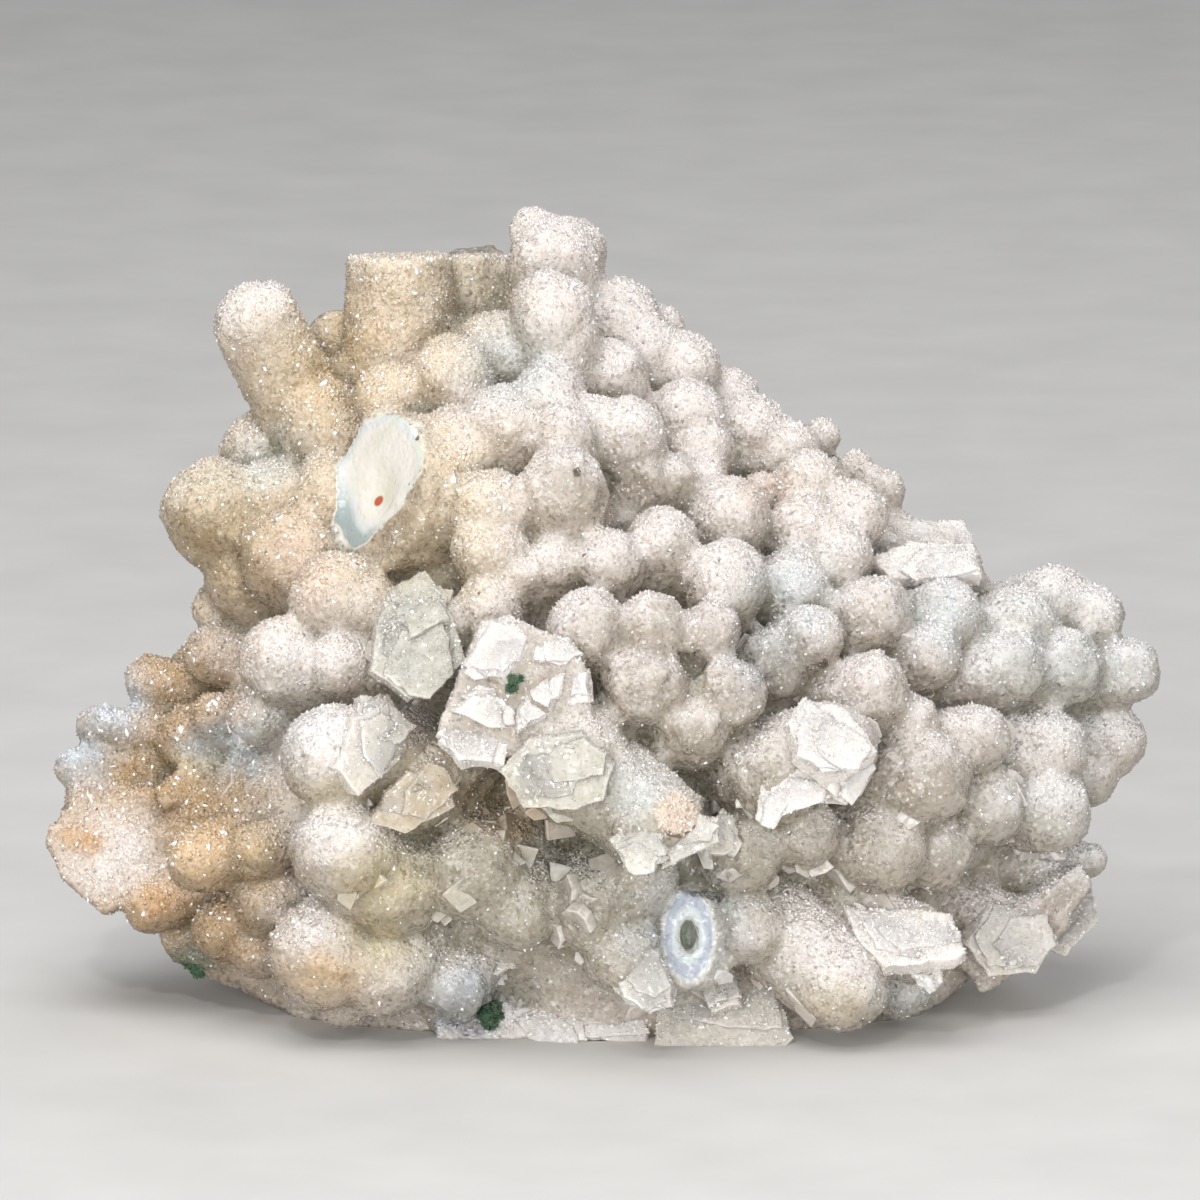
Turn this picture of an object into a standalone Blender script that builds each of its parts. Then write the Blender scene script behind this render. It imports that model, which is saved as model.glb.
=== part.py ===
"""Chalcedony with stilbite: a mound of rounded knobs and stalactites, with plates of stilbite and tufts of
celadonite set in it.

The specimen is laid out in its face frame, in millimetres, as it is seen square-on: across to the right, up
the face, and out towards the viewer. The face leans back by FACE_LEAN, and the mound is cut flat where it
stands. World units are metres, with +Z up, the viewer at -Y and the origin on the flat underside.
"""

import math
from collections import namedtuple

import bmesh
import bpy
from mathutils import Matrix, Vector, noise

MM = 0.001
FACE_LEAN = math.radians(12)
CUT_HEIGHT = 3.5
BASE_ACROSS = 3.0
BASE_BACK = 5.0
CUTTER_REACH = 90.0

MOUND_MIDDLE = Vector((0.0, 30.0))
MOUND_SEGMENTS = 144
MOUND_RINGS = 22
FACE_HEIGHT = 23.0
FACE_ROUNDNESS = 2.1
EDGE_SIDE = 1.0
EDGE_FOOT = 12.0
EDGE_CROWN = -3.0
MOUND_UNDER_KNOBS = 3.0
BACK_DEPTH_FOOT = 26.0
BACK_DEPTH_CROWN = 14.0
BACK_EDGE = 8.0
CROWN_HEIGHT = 84.0
FOOT_HEIGHT = 16.0
FACET_SIZE = 17.0
FACET_TILT = 0.8
FACET_STEP = 4.0
FACET_LAYER = 0.5
FACET_SEED = 7.3
BACK_ROUGHNESS = 1.6
BACK_ROUGHNESS_SCALE = 4.0

GROWTH_CENTRE = Vector((0.0, 26.0, -10.0))
ROOT_LENGTH = 13.0
ROOT_SPREAD = 1.12
KNOB_SEGMENTS = 20
KNOB_RINGS = 12
KNOB_LUMPINESS = 0.07
LUMP_SCALE = 1.3
LUMP_SEED = 0.37
TIP_SINK = 0.3
BREAK_HEIGHT = 0.05
BREAK_SHOULDER = 0.85
TUFT_LUMPINESS = 0.25
TUFT_LUMP_SCALE = 2.0
TUFT_LENGTH = 1.4

SKIN_VOXEL = 0.75
CHALCEDONY_TRIANGLES = 7300
CRYSTAL_GAP = 0.3
CRYSTAL_TAPER = 0.82
SMOOTH_STONE = 50
SMOOTH_CRYSTAL = 20
SMOOTH_TUFT = 60
TINY = 1e-6

Knob = namedtuple("Knob", "across up radius proud root", defaults=(None,))
Hollow = namedtuple("Hollow", "across up radius depth")
# Corners are (across, up) pairs, anticlockwise; slope is the rise outward per mm across and per mm up.
Plate = namedtuple("Plate", "corners proud slope thick")

# The outline of the mound behind the knobs, clockwise from the crown.
OUTLINE = [
    (-5, 80), (1, 74), (8, 69), (13, 64), (20, 59), (27, 56), (31, 52.5), (37, 51), (39, 46), (48, 42),
    (52, 37), (52, 30), (48, 24), (46, 17), (41, 10), (34, 4), (25, -1), (18, -3), (4, -4), (-6, -4),
    (-16, -3), (-25, -1), (-31, 3), (-40, 8), (-48, 14), (-53.5, 18.5), (-54, 24), (-49, 31), (-45, 36),
    (-39, 43), (-37, 50), (-33, 59), (-28, 66), (-25, 74), (-18, 76), (-11, 75),
]

HOLLOWS = [
    Hollow(-43, 31, 7.0, 8.0), Hollow(-12, 25.5, 3.0, 6.0), Hollow(-7, 44.5, 2.0, 3.0),
    Hollow(14.5, 39.5, 3.2, 3.0), Hollow(34, 35, 3.0, 4.0), Hollow(15.5, 57, 2.5, 3.0),
    Hollow(-4, 21, 3.5, 4.0), Hollow(-9.5, 4, 4.5, 3.0), Hollow(12, 27, 2.8, 3.5),
    Hollow(18, 20, 3.0, 3.0), Hollow(37, 14, 3.0, 4.0), Hollow(-25.5, 70, 2.0, 4.0),
]

UPPER_LEFT_KNOBS = [
    Knob(-34.2, 71.8, 4.4, 4.0, (6.0, -11.5, -4.0)), Knob(-27.8, 61.8, 4.8, 0.5),
    Knob(-33.8, 59.0, 4.3, -2.0),
    Knob(-38.2, 53.1, 5.5, 3.0, (7.5, -5.5, -3.0)), Knob(-32.5, 54.3, 4.2, 1.0), Knob(-31.0, 48.5, 5.0, 1.5),
    Knob(-35.0, 46.6, 4.6, -1.0), Knob(-26.5, 70.3, 3.2, -5.0), Knob(-25.6, 66.0, 3.0, -4.0),
    Knob(-20.8, 64.3, 3.8, 1.5), Knob(-14.7, 66.6, 4.1, 2.0), Knob(-14.0, 58.8, 4.7, 0.0),
    Knob(-9.5, 61.5, 4.2, 2.5), Knob(-10.8, 53.2, 4.1, 2.0), Knob(-11.0, 49.3, 3.8, 1.0),
    Knob(-26.0, 44.3, 4.8, 1.5), Knob(-22.5, 43.3, 3.5, 0.0), Knob(-26.5, 54.5, 4.5, -1.5),
]

CROWN_KNOBS = [
    Knob(-4.6, 78.0, 4.9, 0.0, (0.3, -12.0, -2.0)), Knob(-2.3, 79.6, 3.0, 0.0, (-1.0, -6.0, -1.0)),
    Knob(-6.6, 81.2, 2.6, 0.5, (1.0, -6.0, -1.0)), Knob(-4.8, 72.5, 4.5, 4.0), Knob(-10.8, 69.5, 3.6, 1.5),
    Knob(-7.8, 68.1, 3.1, 0.5), Knob(2.0, 72.3, 4.2, 0.0), Knob(1.2, 66.8, 3.6, -0.5),
    Knob(4.5, 69.1, 3.6, -0.5), Knob(6.0, 71.6, 2.6, -2.0), Knob(8.3, 67.4, 3.8, 0.0),
    Knob(-4.9, 64.5, 3.6, 1.0), Knob(-3.8, 60.3, 3.5, 1.5), Knob(-3.8, 55.0, 4.4, 3.0),
    Knob(2.7, 60.6, 3.9, 2.5), Knob(-0.3, 61.8, 2.8, 1.5), Knob(8.8, 62.6, 3.8, 1.5),
    Knob(10.0, 59.1, 3.6, 0.0), Knob(14.5, 61.1, 4.2, -1.0), Knob(12.8, 64.2, 3.4, -1.5),
    Knob(7.2, 56.5, 2.5, 0.0), Knob(10.5, 56.1, 2.3, 0.0), Knob(4.5, 56.5, 2.3, 0.0),
]

UPPER_RIGHT_KNOBS = [
    Knob(18.5, 58.6, 3.8, -1.0), Knob(22.3, 60.7, 1.9, -3.0), Knob(20.8, 56.1, 3.3, 3.5),
    Knob(25.3, 52.6, 3.6, 2.5), Knob(20.3, 51.3, 3.5, 1.0), Knob(28.3, 55.3, 2.3, -2.0),
    Knob(25.8, 57.6, 1.8, -2.5), Knob(23.8, 48.6, 3.4, 1.5), Knob(19.0, 45.5, 3.8, -0.5),
    Knob(27.3, 43.1, 3.7, 3.0), Knob(20.8, 40.6, 3.2, 2.5), Knob(34.2, 42.6, 4.0, 1.5),
    Knob(32.5, 38.8, 3.4, 0.0), Knob(45.5, 44.0, 3.8, 1.0, (-7.0, -3.0, -4.0)),
    Knob(49.0, 42.6, 3.5, 0.5, (-8.0, -4.0, -4.0)), Knob(41.5, 41.6, 4.2, 0.5),
    Knob(52.7, 37.1, 3.4, 1.5, (-10.0, -1.5, -4.0)), Knob(46.5, 37.6, 3.8, 1.0), Knob(40.5, 37.6, 4.0, 0.0),
    Knob(16.0, 55.1, 2.0, -1.0), Knob(13.0, 52.6, 4.0, 2.5), Knob(12.5, 46.1, 4.2, 2.5),
    Knob(6.2, 50.0, 3.6, 2.0), Knob(10.9, 41.1, 3.0, 3.0), Knob(0.8, 48.1, 3.3, 1.5),
    Knob(-4.8, 48.0, 2.7, 0.5), Knob(-8.0, 46.8, 2.4, 0.0), Knob(33.5, 47.0, 3.8, -2.0),
]

MIDDLE_KNOBS = [
    Knob(-31.3, 38.2, 4.5, 3.5), Knob(-25.5, 37.8, 3.2, 2.0), Knob(-34.2, 32.3, 2.6, 0.5),
    Knob(-17.7, 40.3, 4.8, 3.0), Knob(-11.0, 43.1, 3.5, 1.0), Knob(-1.2, 41.5, 4.0, 2.5),
    Knob(5.1, 41.6, 3.6, 3.0), Knob(4.3, 36.1, 4.3, 3.0), Knob(12.7, 35.1, 3.6, 2.5),
    Knob(9.0, 31.6, 3.8, 1.5),
    Knob(17.2, 38.1, 3.6, -0.5), Knob(-2.8, 28.0, 5.9, 5.0, (-1.5, 3.5, -9.0)), Knob(1.0, 25.3, 4.8, 5.0),
    Knob(5.2, 22.5, 4.9, 7.0, (-5.0, 4.0, -6.0)), Knob(-26.2, 28.8, 5.2, 6.0), Knob(-22.0, 29.8, 4.4, 3.5),
    Knob(-18.0, 25.8, 4.2, 0.5), Knob(-14.5, 28.3, 3.0, -0.5), Knob(22.6, 29.8, 4.6, 5.5, (-6.0, -2.0, -7.0)),
    Knob(17.5, 27.1, 4.6, 3.0), Knob(26.8, 35.3, 3.8, 2.0), Knob(30.5, 32.1, 3.0, 0.5),
    Knob(32.0, 26.6, 4.7, 3.5), Knob(37.3, 30.6, 3.3, 2.0), Knob(45.0, 29.5, 3.7, 1.5),
    Knob(51.0, 30.1, 3.8, -2.0), Knob(48.5, 26.8, 3.4, -2.0), Knob(44.6, 23.3, 4.3, 4.0, (-7.0, 1.5, -5.0)),
    Knob(38.5, 24.0, 4.0, 2.0),
]

LOWER_KNOBS = [
    Knob(-25.3, 19.6, 5.1, 7.0, (5.5, -4.0, -8.0)), Knob(-20.5, 15.8, 4.6, 3.5), Knob(-27.2, 9.3, 5.6, 6.0),
    Knob(-21.2, 7.8, 4.8, 3.5), Knob(-25.5, 5.3, 3.4, 3.5), Knob(-12.0, 17.5, 5.0, 2.0),
    Knob(-8.0, 14.0, 4.2, 1.5), Knob(-0.8, 13.8, 4.4, 1.5), Knob(4.0, 16.3, 3.8, 1.0),
    Knob(2.2, 9.5, 4.2, 2.5),
    Knob(14.0, 19.3, 4.0, 0.0), Knob(20.3, 21.3, 3.5, 1.0), Knob(28.0, 19.8, 4.5, 1.5),
    Knob(33.0, 19.3, 4.0, 0.5), Knob(23.8, 6.5, 4.8, 5.5, (-8.5, 7.0, -5.0)),
    Knob(30.8, 10.5, 4.0, 4.5, (-9.0, 4.5, -5.0)),
    Knob(29.8, 5.3, 2.9, 0.0), Knob(40.0, 11.8, 3.6, -1.0), Knob(45.5, 16.1, 3.0, -1.5),
    Knob(49.0, 18.3, 1.8, -2.0), Knob(14.5, 12.0, 3.8, 0.5), Knob(-14.5, 6.0, 3.4, 0.0),
    Knob(-39.5, 18.8, 3.6, 2.0), Knob(-34.0, 19.5, 2.9, 1.5), Knob(-37.4, 11.5, 3.2, 1.0),
    Knob(-33.8, 9.3, 2.8, 0.5), Knob(-45.0, 13.8, 2.6, 0.5), Knob(-33.0, 14.5, 3.6, 0.0),
]

HOLLOW_LUMPS = [
    Knob(-45.0, 36.1, 2.6, -2.5), Knob(-38.7, 38.8, 3.0, -2.5), Knob(-41.0, 30.3, 3.4, -6.0),
    Knob(-47.5, 27.5, 2.2, -4.5), Knob(-38.3, 32.5, 2.6, -4.0), Knob(-51.5, 24.5, 2.0, -1.5),
    Knob(-50.3, 31.6, 2.2, -0.5), Knob(-52.6, 27.6, 2.0, -0.5), Knob(-38.5, 43.5, 2.4, -2.0),
]

KNOBS = UPPER_LEFT_KNOBS + CROWN_KNOBS + UPPER_RIGHT_KNOBS + MIDDLE_KNOBS + LOWER_KNOBS + HOLLOW_LUMPS

# Stalactites that end in a break: the place is the middle of the break.
BROKEN_COLUMNS = [
    Knob(-20.0, 78.6, 5.3, 1.0, (0.0, -13.0, -1.0)), Knob(-13.3, 78.9, 4.0, -3.0, (0.5, -9.0, -1.0)),
    Knob(-21.3, 55.1, 7.9, 5.0, (9.0, -1.0, -6.5)), Knob(9.0, 10.5, 4.9, 2.5, (-1.0, 1.5, -10.0)),
]

# The broken end of the biggest stalactite, which has the celadonite core in its middle.
BIG_BREAK = Plate([(-11.7, 42.5), (-16.0, 31.1), (-13.5, 28.6), (-3.0, 29.0), (-0.5, 33.5), (-1.3, 38.0),
                   (-4.5, 41.1), (-8.0, 42.6)], 7.5, (-0.1, -0.15), 15.0)

# Flat-faced parts of the chalcedony itself: the drusy wall at the left and the rims.
WALLS = [
    Plate([(-53.5, 23.5), (-55.6, 20.5), (-54.2, 17.0), (-49.5, 12.8), (-43.0, 16.0), (-41.5, 23.3),
           (-45.0, 26.0)], 2.0, (0.1, -0.25), 5.0),
    Plate([(-44.5, 25.5), (-43.5, 23.5), (-36.5, 27.0), (-35.5, 30.5), (-38.0, 30.8)], 1.5, (0.0, -0.5), 4.0),
    Plate([(-17.0, 4.0), (-16.5, 0.5), (-5.0, -1.5), (3.0, -1.0), (2.0, 4.5), (-6.0, 5.5), (-14.0, 8.5)], 1.5,
          (0.0, -0.6), 7.0),
    Plate([(-44.5, 11.0), (-43.0, 8.0), (-31.5, 3.0), (-29.5, 5.5), (-36.0, 9.5)], -1.0, (0.1, 0.4), 5.0),
    Plate([(34.5, 8.5), (38.5, 4.5), (46.0, 10.5), (49.5, 16.0), (48.0, 18.0), (41.0, 13.0)], 0.0,
          (-0.2, 0.3), 5.0),
]

AGATE_EYE = Knob(8.7, 11.3, 0.95, 0.0)
AGATE_EYE_STRETCH = 1.8
AGATE_EYE_DEPTH = 4.5

WEDGE_PLATES = [
    Plate([(18.5, 32.5), (19.0, 29.6), (21.5, 27.3), (24.5, 27.0), (26.8, 29.8), (26.2, 31.5), (23.8, 34.0),
           (20.0, 34.8)], 1.6, (-0.1, -0.45), 3.4),
    Plate([(22.3, 25.5), (23.2, 24.3), (25.0, 25.8), (27.2, 27.8), (26.9, 30.0), (23.5, 29.0)], 1.3,
          (-0.7, 0.5), 3.0),
    Plate([(15.2, 22.8), (16.5, 21.8), (17.0, 23.1), (22.8, 24.6), (23.3, 26.4), (19.5, 28.0), (15.8, 26.0)],
          1.0, (0.1, 0.25), 3.0),
]

SKIRT_PLATES = [
    Plate([(-9.5, 27.5), (-8.0, 23.6), (-2.5, 23.8), (0.5, 24.6), (2.0, 28.0), (-2.0, 31.0), (-7.0, 30.5)],
          1.1,
          (0.1, 0.2), 3.4),
    Plate([(-7.0, 24.5), (-4.5, 21.8), (-1.0, 22.5), (1.5, 24.5), (-2.0, 27.0), (-6.0, 27.0)], -1.2,
          (0.0, 0.5), 3.0),
]

BEIGE_KNOB_PLATES = [
    Plate([(0.2, 21.0), (2.5, 18.0), (3.5, 17.4), (6.5, 18.4), (6.0, 21.5), (2.5, 23.0)],
          0.9, (0.25, 0.35), 3.2),
    Plate([(10.2, 22.3), (10.3, 20.0), (11.2, 19.2), (13.2, 19.3), (14.0, 20.4), (13.7, 22.8), (12.0, 24.0)],
          1.8, (0.0, -0.1), 3.0),
    Plate([(4.5, 21.5), (6.0, 18.0), (11.5, 20.0), (12.0, 22.5), (9.0, 23.5)], 0.2, (0.0, 0.1), 6.0),
]

LEFT_PLATES = [
    Plate([(-26.0, 27.5), (-23.6, 24.3), (-20.0, 27.3), (-18.8, 30.3), (-20.6, 34.0), (-24.5, 33.5)], 1.2,
          (-0.5, 0.1), 3.2),
    Plate([(-23.5, 35.2), (-24.5, 31.0), (-19.5, 29.5), (-17.8, 31.5), (-20.5, 35.6), (-22.0, 35.0)], 0.6,
          (-0.3, -0.2), 3.0),
]

BROWN_PLATES = [
    Plate([(-22.5, 22.5), (-19.0, 21.3), (-13.5, 23.8), (-13.9, 27.8), (-16.5, 28.6), (-20.5, 25.6)], 1.0,
          (-0.1, 0.15), 3.0),
    Plate([(-19.0, 26.0), (-14.5, 25.0), (-13.2, 27.0), (-13.6, 29.3), (-17.0, 31.0)],
          0.5, (-0.3, -0.2), 3.0),
]

PLATY_KNOB_PLATES = [
    Plate([(-22.5, 37.3), (-18.5, 35.0), (-15.5, 34.4), (-12.7, 38.3), (-14.0, 43.0), (-15.2, 45.4),
           (-20.8, 44.0), (-22.2, 41.8)], 0.8, (-0.1, -0.1), 4.0),
    Plate([(-21.5, 45.3), (-21.8, 41.0), (-14.5, 42.0), (-15.0, 45.6), (-16.5, 46.6)], 0.3, (0.0, -0.4), 3.2),
]

SHEAF_PLATES = [
    Plate([(27.0, 48.5), (28.0, 46.2), (33.0, 45.8), (38.5, 46.8), (37.0, 50.0), (30.5, 51.0)], 1.8,
          (-0.1, -0.5), 2.6),
    Plate([(29.5, 49.5), (38.0, 48.3), (37.6, 51.0), (36.5, 52.5), (30.3, 52.6)], 0.6, (-0.1, -0.7), 2.6),
    Plate([(26.6, 46.5), (30.0, 44.8), (36.0, 45.2), (35.0, 47.5), (28.0, 48.0)], 1.2, (0.0, -0.15), 2.6),
]

RIM_BLADE_PLATES = [
    Plate([(-14.8, 8.1), (-13.0, 7.2), (-10.0, 7.3), (-8.3, 8.3), (-8.7, 9.4), (-10.0, 9.6), (-14.2, 9.3)],
          1.0,
          (0.0, -0.2), 2.6),
    Plate([(-12.6, 9.5), (-12.0, 6.0), (-9.0, 6.5), (-9.5, 9.8)], -0.6, (0.0, 0.2), 2.6),
]

FOOT_PLATES = [
    Plate([(1.0, 6.5), (2.5, 4.5), (5.0, 3.0), (7.5, 4.0), (6.8, 9.0), (4.5, 11.0), (2.0, 10.0)], 0.8,
          (0.1, 0.2), 3.0),
    Plate([(5.5, 4.5), (4.0, 0.0), (12.0, -0.5), (18.2, 0.0), (18.8, 1.3), (17.5, 6.0), (15.7, 7.4),
           (11.0, 6.0)], 2.2, (0.0, -0.3), 4.5),
    Plate([(10.0, 6.5), (10.8, 3.5), (14.0, 4.0), (13.3, 8.6), (12.2, 9.4)], 1.4, (0.2, -0.2), 3.0),
]

TIP_PLATES = [
    Plate([(23.5, 14.6), (25.5, 11.0), (28.0, 8.3), (35.5, 8.8), (36.2, 9.8), (35.8, 12.5), (31.0, 13.6)],
          0.9,
          (0.0, -0.35), 3.4),
    Plate([(29.4, 8.8), (31.0, 6.6), (33.0, 5.6), (34.0, 6.4), (33.4, 8.6)], 1.0, (0.0, 0.4), 2.6),
]

RIGHT_PLATES = [
    Plate([(36.6, 10.0), (38.5, 6.5), (43.5, 7.0), (46.0, 10.5), (44.0, 14.5), (39.0, 14.0)], 0.8,
          (-0.3, 0.2), 4.5),
    Plate([(41.5, 9.5), (46.5, 9.0), (50.0, 12.5), (49.5, 16.0), (43.5, 16.0)], 0.4, (-0.3, 0.1), 4.5),
]

STILBITE = {
    "stilbite_wedge": WEDGE_PLATES,
    "stilbite_skirt": SKIRT_PLATES,
    "stilbite_beside_pale_patch": BEIGE_KNOB_PLATES,
    "stilbite_left_plates": LEFT_PLATES,
    "stilbite_brown_plates": BROWN_PLATES,
    "stilbite_platy_knob": PLATY_KNOB_PLATES,
    "stilbite_sheaf": SHEAF_PLATES,
    "stilbite_rim_blade": RIM_BLADE_PLATES,
    "stilbite_foot_prisms": FOOT_PLATES,
    "stilbite_tip_blades": TIP_PLATES,
    "stilbite_right_blades": RIGHT_PLATES,
}

CELADONITE = {
    "celadonite_core": Knob(-8.3, 36.3, 1.1, 10.5),
    "celadonite_tuft": Knob(-10.9, 3.0, 1.7, 0.4),
    "celadonite_fleck": Knob(-40.5, 8.0, 1.5, 0.0),
}


class Form:
    """Closed surfaces gathered for one object, as points in the face frame and faces on them."""

    def __init__(self):
        self.points = []
        self.faces = []

    def add(self, points, faces):
        start = len(self.points)
        self.points += points
        self.faces += [[start + index for index in face] for face in faces]


def world_matrix():
    """From the face frame, in millimetres, to the world, in metres."""
    stand = Matrix.Rotation(math.radians(90) - FACE_LEAN, 4, "X")
    origin = Matrix.Translation((-BASE_ACROSS, -BASE_BACK, -CUT_HEIGHT))
    return Matrix.Scale(MM, 4) @ origin @ stand


def object_of(name, form):
    """A new object from gathered surfaces, brought to the world frame with its faces pointing out."""
    mesh = bpy.data.meshes.new(name)
    mesh.from_pydata(form.points, [], form.faces)
    mesh.transform(world_matrix())
    shell = bmesh.new()
    shell.from_mesh(mesh)
    bmesh.ops.recalc_face_normals(shell, faces=shell.faces)
    shell.to_mesh(mesh)
    shell.free()
    made = bpy.data.objects.new(name, mesh)
    bpy.context.scene.collection.objects.link(made)
    return made


def cutter_of(name, form):
    """A helper object that only shapes others."""
    cutter = object_of(name, form)
    cutter.hide_render = True
    cutter.display_type = "WIRE"
    return cutter


def outline_reach(angle):
    """The distance from the middle of the mound to its outline in one direction."""
    direction = Vector((math.cos(angle), math.sin(angle)))
    for index, corner in enumerate(OUTLINE):
        start = Vector(OUTLINE[index - 1]) - MOUND_MIDDLE
        side = Vector(corner) - MOUND_MIDDLE - start
        turn = direction.cross(side)
        if abs(turn) < TINY:
            continue
        reach = start.cross(side) / turn
        share = start.cross(direction) / turn
        if reach > 0 and 0 <= share <= 1:
            return reach
    return 0.0


def face_edge(angle):
    """How far out the rim of the face stands, for a direction from the middle of the mound."""
    foot = max(0.0, -math.sin(angle))
    crown = max(0.0, math.sin(angle))
    return EDGE_SIDE + (EDGE_FOOT - EDGE_SIDE) * foot**1.5 + (EDGE_CROWN - EDGE_SIDE) * crown**2


def face_depth(across, up):
    """How far out the smooth face stands at a place on it."""
    place = Vector((across, up)) - MOUND_MIDDLE
    angle = math.atan2(place.y, place.x)
    share = min(1.0, place.length / outline_reach(angle))
    edge = face_edge(angle)
    return edge + (FACE_HEIGHT - edge) * (1 - share**FACE_ROUNDNESS)


def hollow_depth(across, up):
    """How much the hollows lower the face at a place on it."""
    depth = 0.0
    for hollow in HOLLOWS:
        away = math.hypot(across - hollow.across, up - hollow.up) / hollow.radius
        depth += hollow.depth * math.exp(-away * away)
    return depth


def back_depth(across, up, share):
    """How far back the broken rear lies: deep at the foot, thin at the crown, in tilted facets."""
    height = min(1.0, max(0.0, up / CROWN_HEIGHT))
    full = BACK_DEPTH_FOOT + (BACK_DEPTH_CROWN - BACK_DEPTH_FOOT) * height
    foot = min(1.0, max(0.0, 1 - up / FOOT_HEIGHT))
    rim = BACK_EDGE + (full - BACK_EDGE) * foot
    place = Vector((across / FACET_SIZE, up / FACET_SIZE, FACET_LAYER))
    nearest = noise.voronoi(place)[1][0]
    tilt = noise.cell_vector(nearest * FACET_SEED)
    lean = (tilt.x - 0.5) * (place.x - nearest.x) + (tilt.y - 0.5) * (place.y - nearest.y)
    facet = FACET_TILT * FACET_SIZE * lean
    step = FACET_STEP * (tilt.z - 0.5)
    rough = BACK_ROUGHNESS * noise.noise(place * BACK_ROUGHNESS_SCALE)
    return rim + (full - rim) * (1 - share**4) + (facet + step + rough) * (1 - share**6)


def add_mound(form):
    """The mass behind the knobs: rings of the outline, drawn in over the front and over the back."""
    points = [
        (MOUND_MIDDLE.x, MOUND_MIDDLE.y, face_depth(*MOUND_MIDDLE) - MOUND_UNDER_KNOBS),
        (MOUND_MIDDLE.x, MOUND_MIDDLE.y, -back_depth(*MOUND_MIDDLE, 0.0)),
    ]
    for ring in range(1, MOUND_RINGS + 1):
        share = ring / MOUND_RINGS
        for step in range(MOUND_SEGMENTS):
            angle = 2 * math.pi * step / MOUND_SEGMENTS
            reach = outline_reach(angle) * share
            across = MOUND_MIDDLE.x + reach * math.cos(angle)
            up = MOUND_MIDDLE.y + reach * math.sin(angle)
            points.append((across, up, face_depth(across, up) - MOUND_UNDER_KNOBS - hollow_depth(across, up)))
            points.append((across, up, -back_depth(across, up, share)))
    faces = []
    row = 2 * MOUND_SEGMENTS
    for step in range(MOUND_SEGMENTS):
        here = 2 + 2 * step
        following = 2 + 2 * ((step + 1) % MOUND_SEGMENTS)
        faces.append((0, here, following))
        faces.append((1, following + 1, here + 1))
        for ring in range(MOUND_RINGS - 1):
            inner = ring * row
            outer = inner + row
            faces.append((inner + here, outer + here, outer + following, inner + following))
            faces.append((inner + following + 1, outer + following + 1, outer + here + 1, inner + here + 1))
        rim = (MOUND_RINGS - 1) * row
        faces.append((rim + here, rim + here + 1, rim + following + 1, rim + following))
    form.add(points, faces)


def unit_ball(segments, rings):
    """The points and faces of a round ball of radius 1 with its poles on Z."""
    ball = bmesh.new()
    bmesh.ops.create_uvsphere(ball, u_segments=segments, v_segments=rings, radius=1.0)
    points = [vert.co.copy() for vert in ball.verts]
    faces = [[vert.index for vert in face.verts] for face in ball.faces]
    ball.free()
    return points, faces


def tip_of(knob):
    """The middle of a knob's round end, in the face frame."""
    depth = face_depth(knob.across, knob.up) + knob.proud - TIP_SINK * knob.radius
    return Vector((knob.across, knob.up, depth))


def root_of(knob):
    """Where a knob grows from: towards the middle of the mound, unless its own root is given."""
    tip = tip_of(knob)
    if knob.root is None:
        return tip - (tip - GROWTH_CENTRE).normalized() * ROOT_LENGTH
    return tip + Vector(knob.root)


def broken_flat(point):
    """Draws the upper half of the ball onto a flat disc, so that the column ends in a break."""
    if point.z < BREAK_HEIGHT:
        return point
    reach = math.hypot(point.x, point.y)
    if reach < TINY:
        return Vector((0.0, 0.0, BREAK_HEIGHT))
    spread = min(1.0, reach / BREAK_SHOULDER) / reach
    return Vector((point.x * spread, point.y * spread, BREAK_HEIGHT))


def add_knob(form, knob, ball, broken=False):
    """A stalactite from its root to its round tip, or to a flat break."""
    tip = tip_of(knob)
    root = root_of(knob)
    turn = (tip - root).to_track_quat("Z", "Y").to_matrix()
    points = []
    for vert in ball[0]:
        shape = broken_flat(vert) if broken else vert
        lumps = 1 + KNOB_LUMPINESS * noise.noise(vert * LUMP_SCALE + tip * LUMP_SEED)
        if vert.z > -BREAK_HEIGHT:
            points.append(tip + turn @ (shape * knob.radius * lumps))
        else:
            points.append(root + turn @ (vert * knob.radius * ROOT_SPREAD * lumps))
    form.add(points, ball[1])


def knob_surface_depth(across, up):
    """How far out the knobs stand at a place on the face."""
    depth = face_depth(across, up) - MOUND_UNDER_KNOBS - hollow_depth(across, up)
    for knob in KNOBS + BROKEN_COLUMNS:
        tip = tip_of(knob)
        room = knob.radius**2 - (across - tip.x) ** 2 - (up - tip.y) ** 2
        if room > 0:
            depth = max(depth, tip.z + math.sqrt(room))
    return depth


def grown_outline(corners, grow):
    """A closed outline moved outward by the same distance on every side."""
    grown = []
    for index, corner in enumerate(corners):
        before = (corner - corners[index - 1]).normalized()
        after = (corners[(index + 1) % len(corners)] - corner).normalized()
        outward = Vector((before.y, -before.x))
        outward_after = Vector((after.y, -after.x))
        grown.append(corner + (outward + outward_after) * grow / (1 + outward.dot(outward_after)))
    return grown


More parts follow.
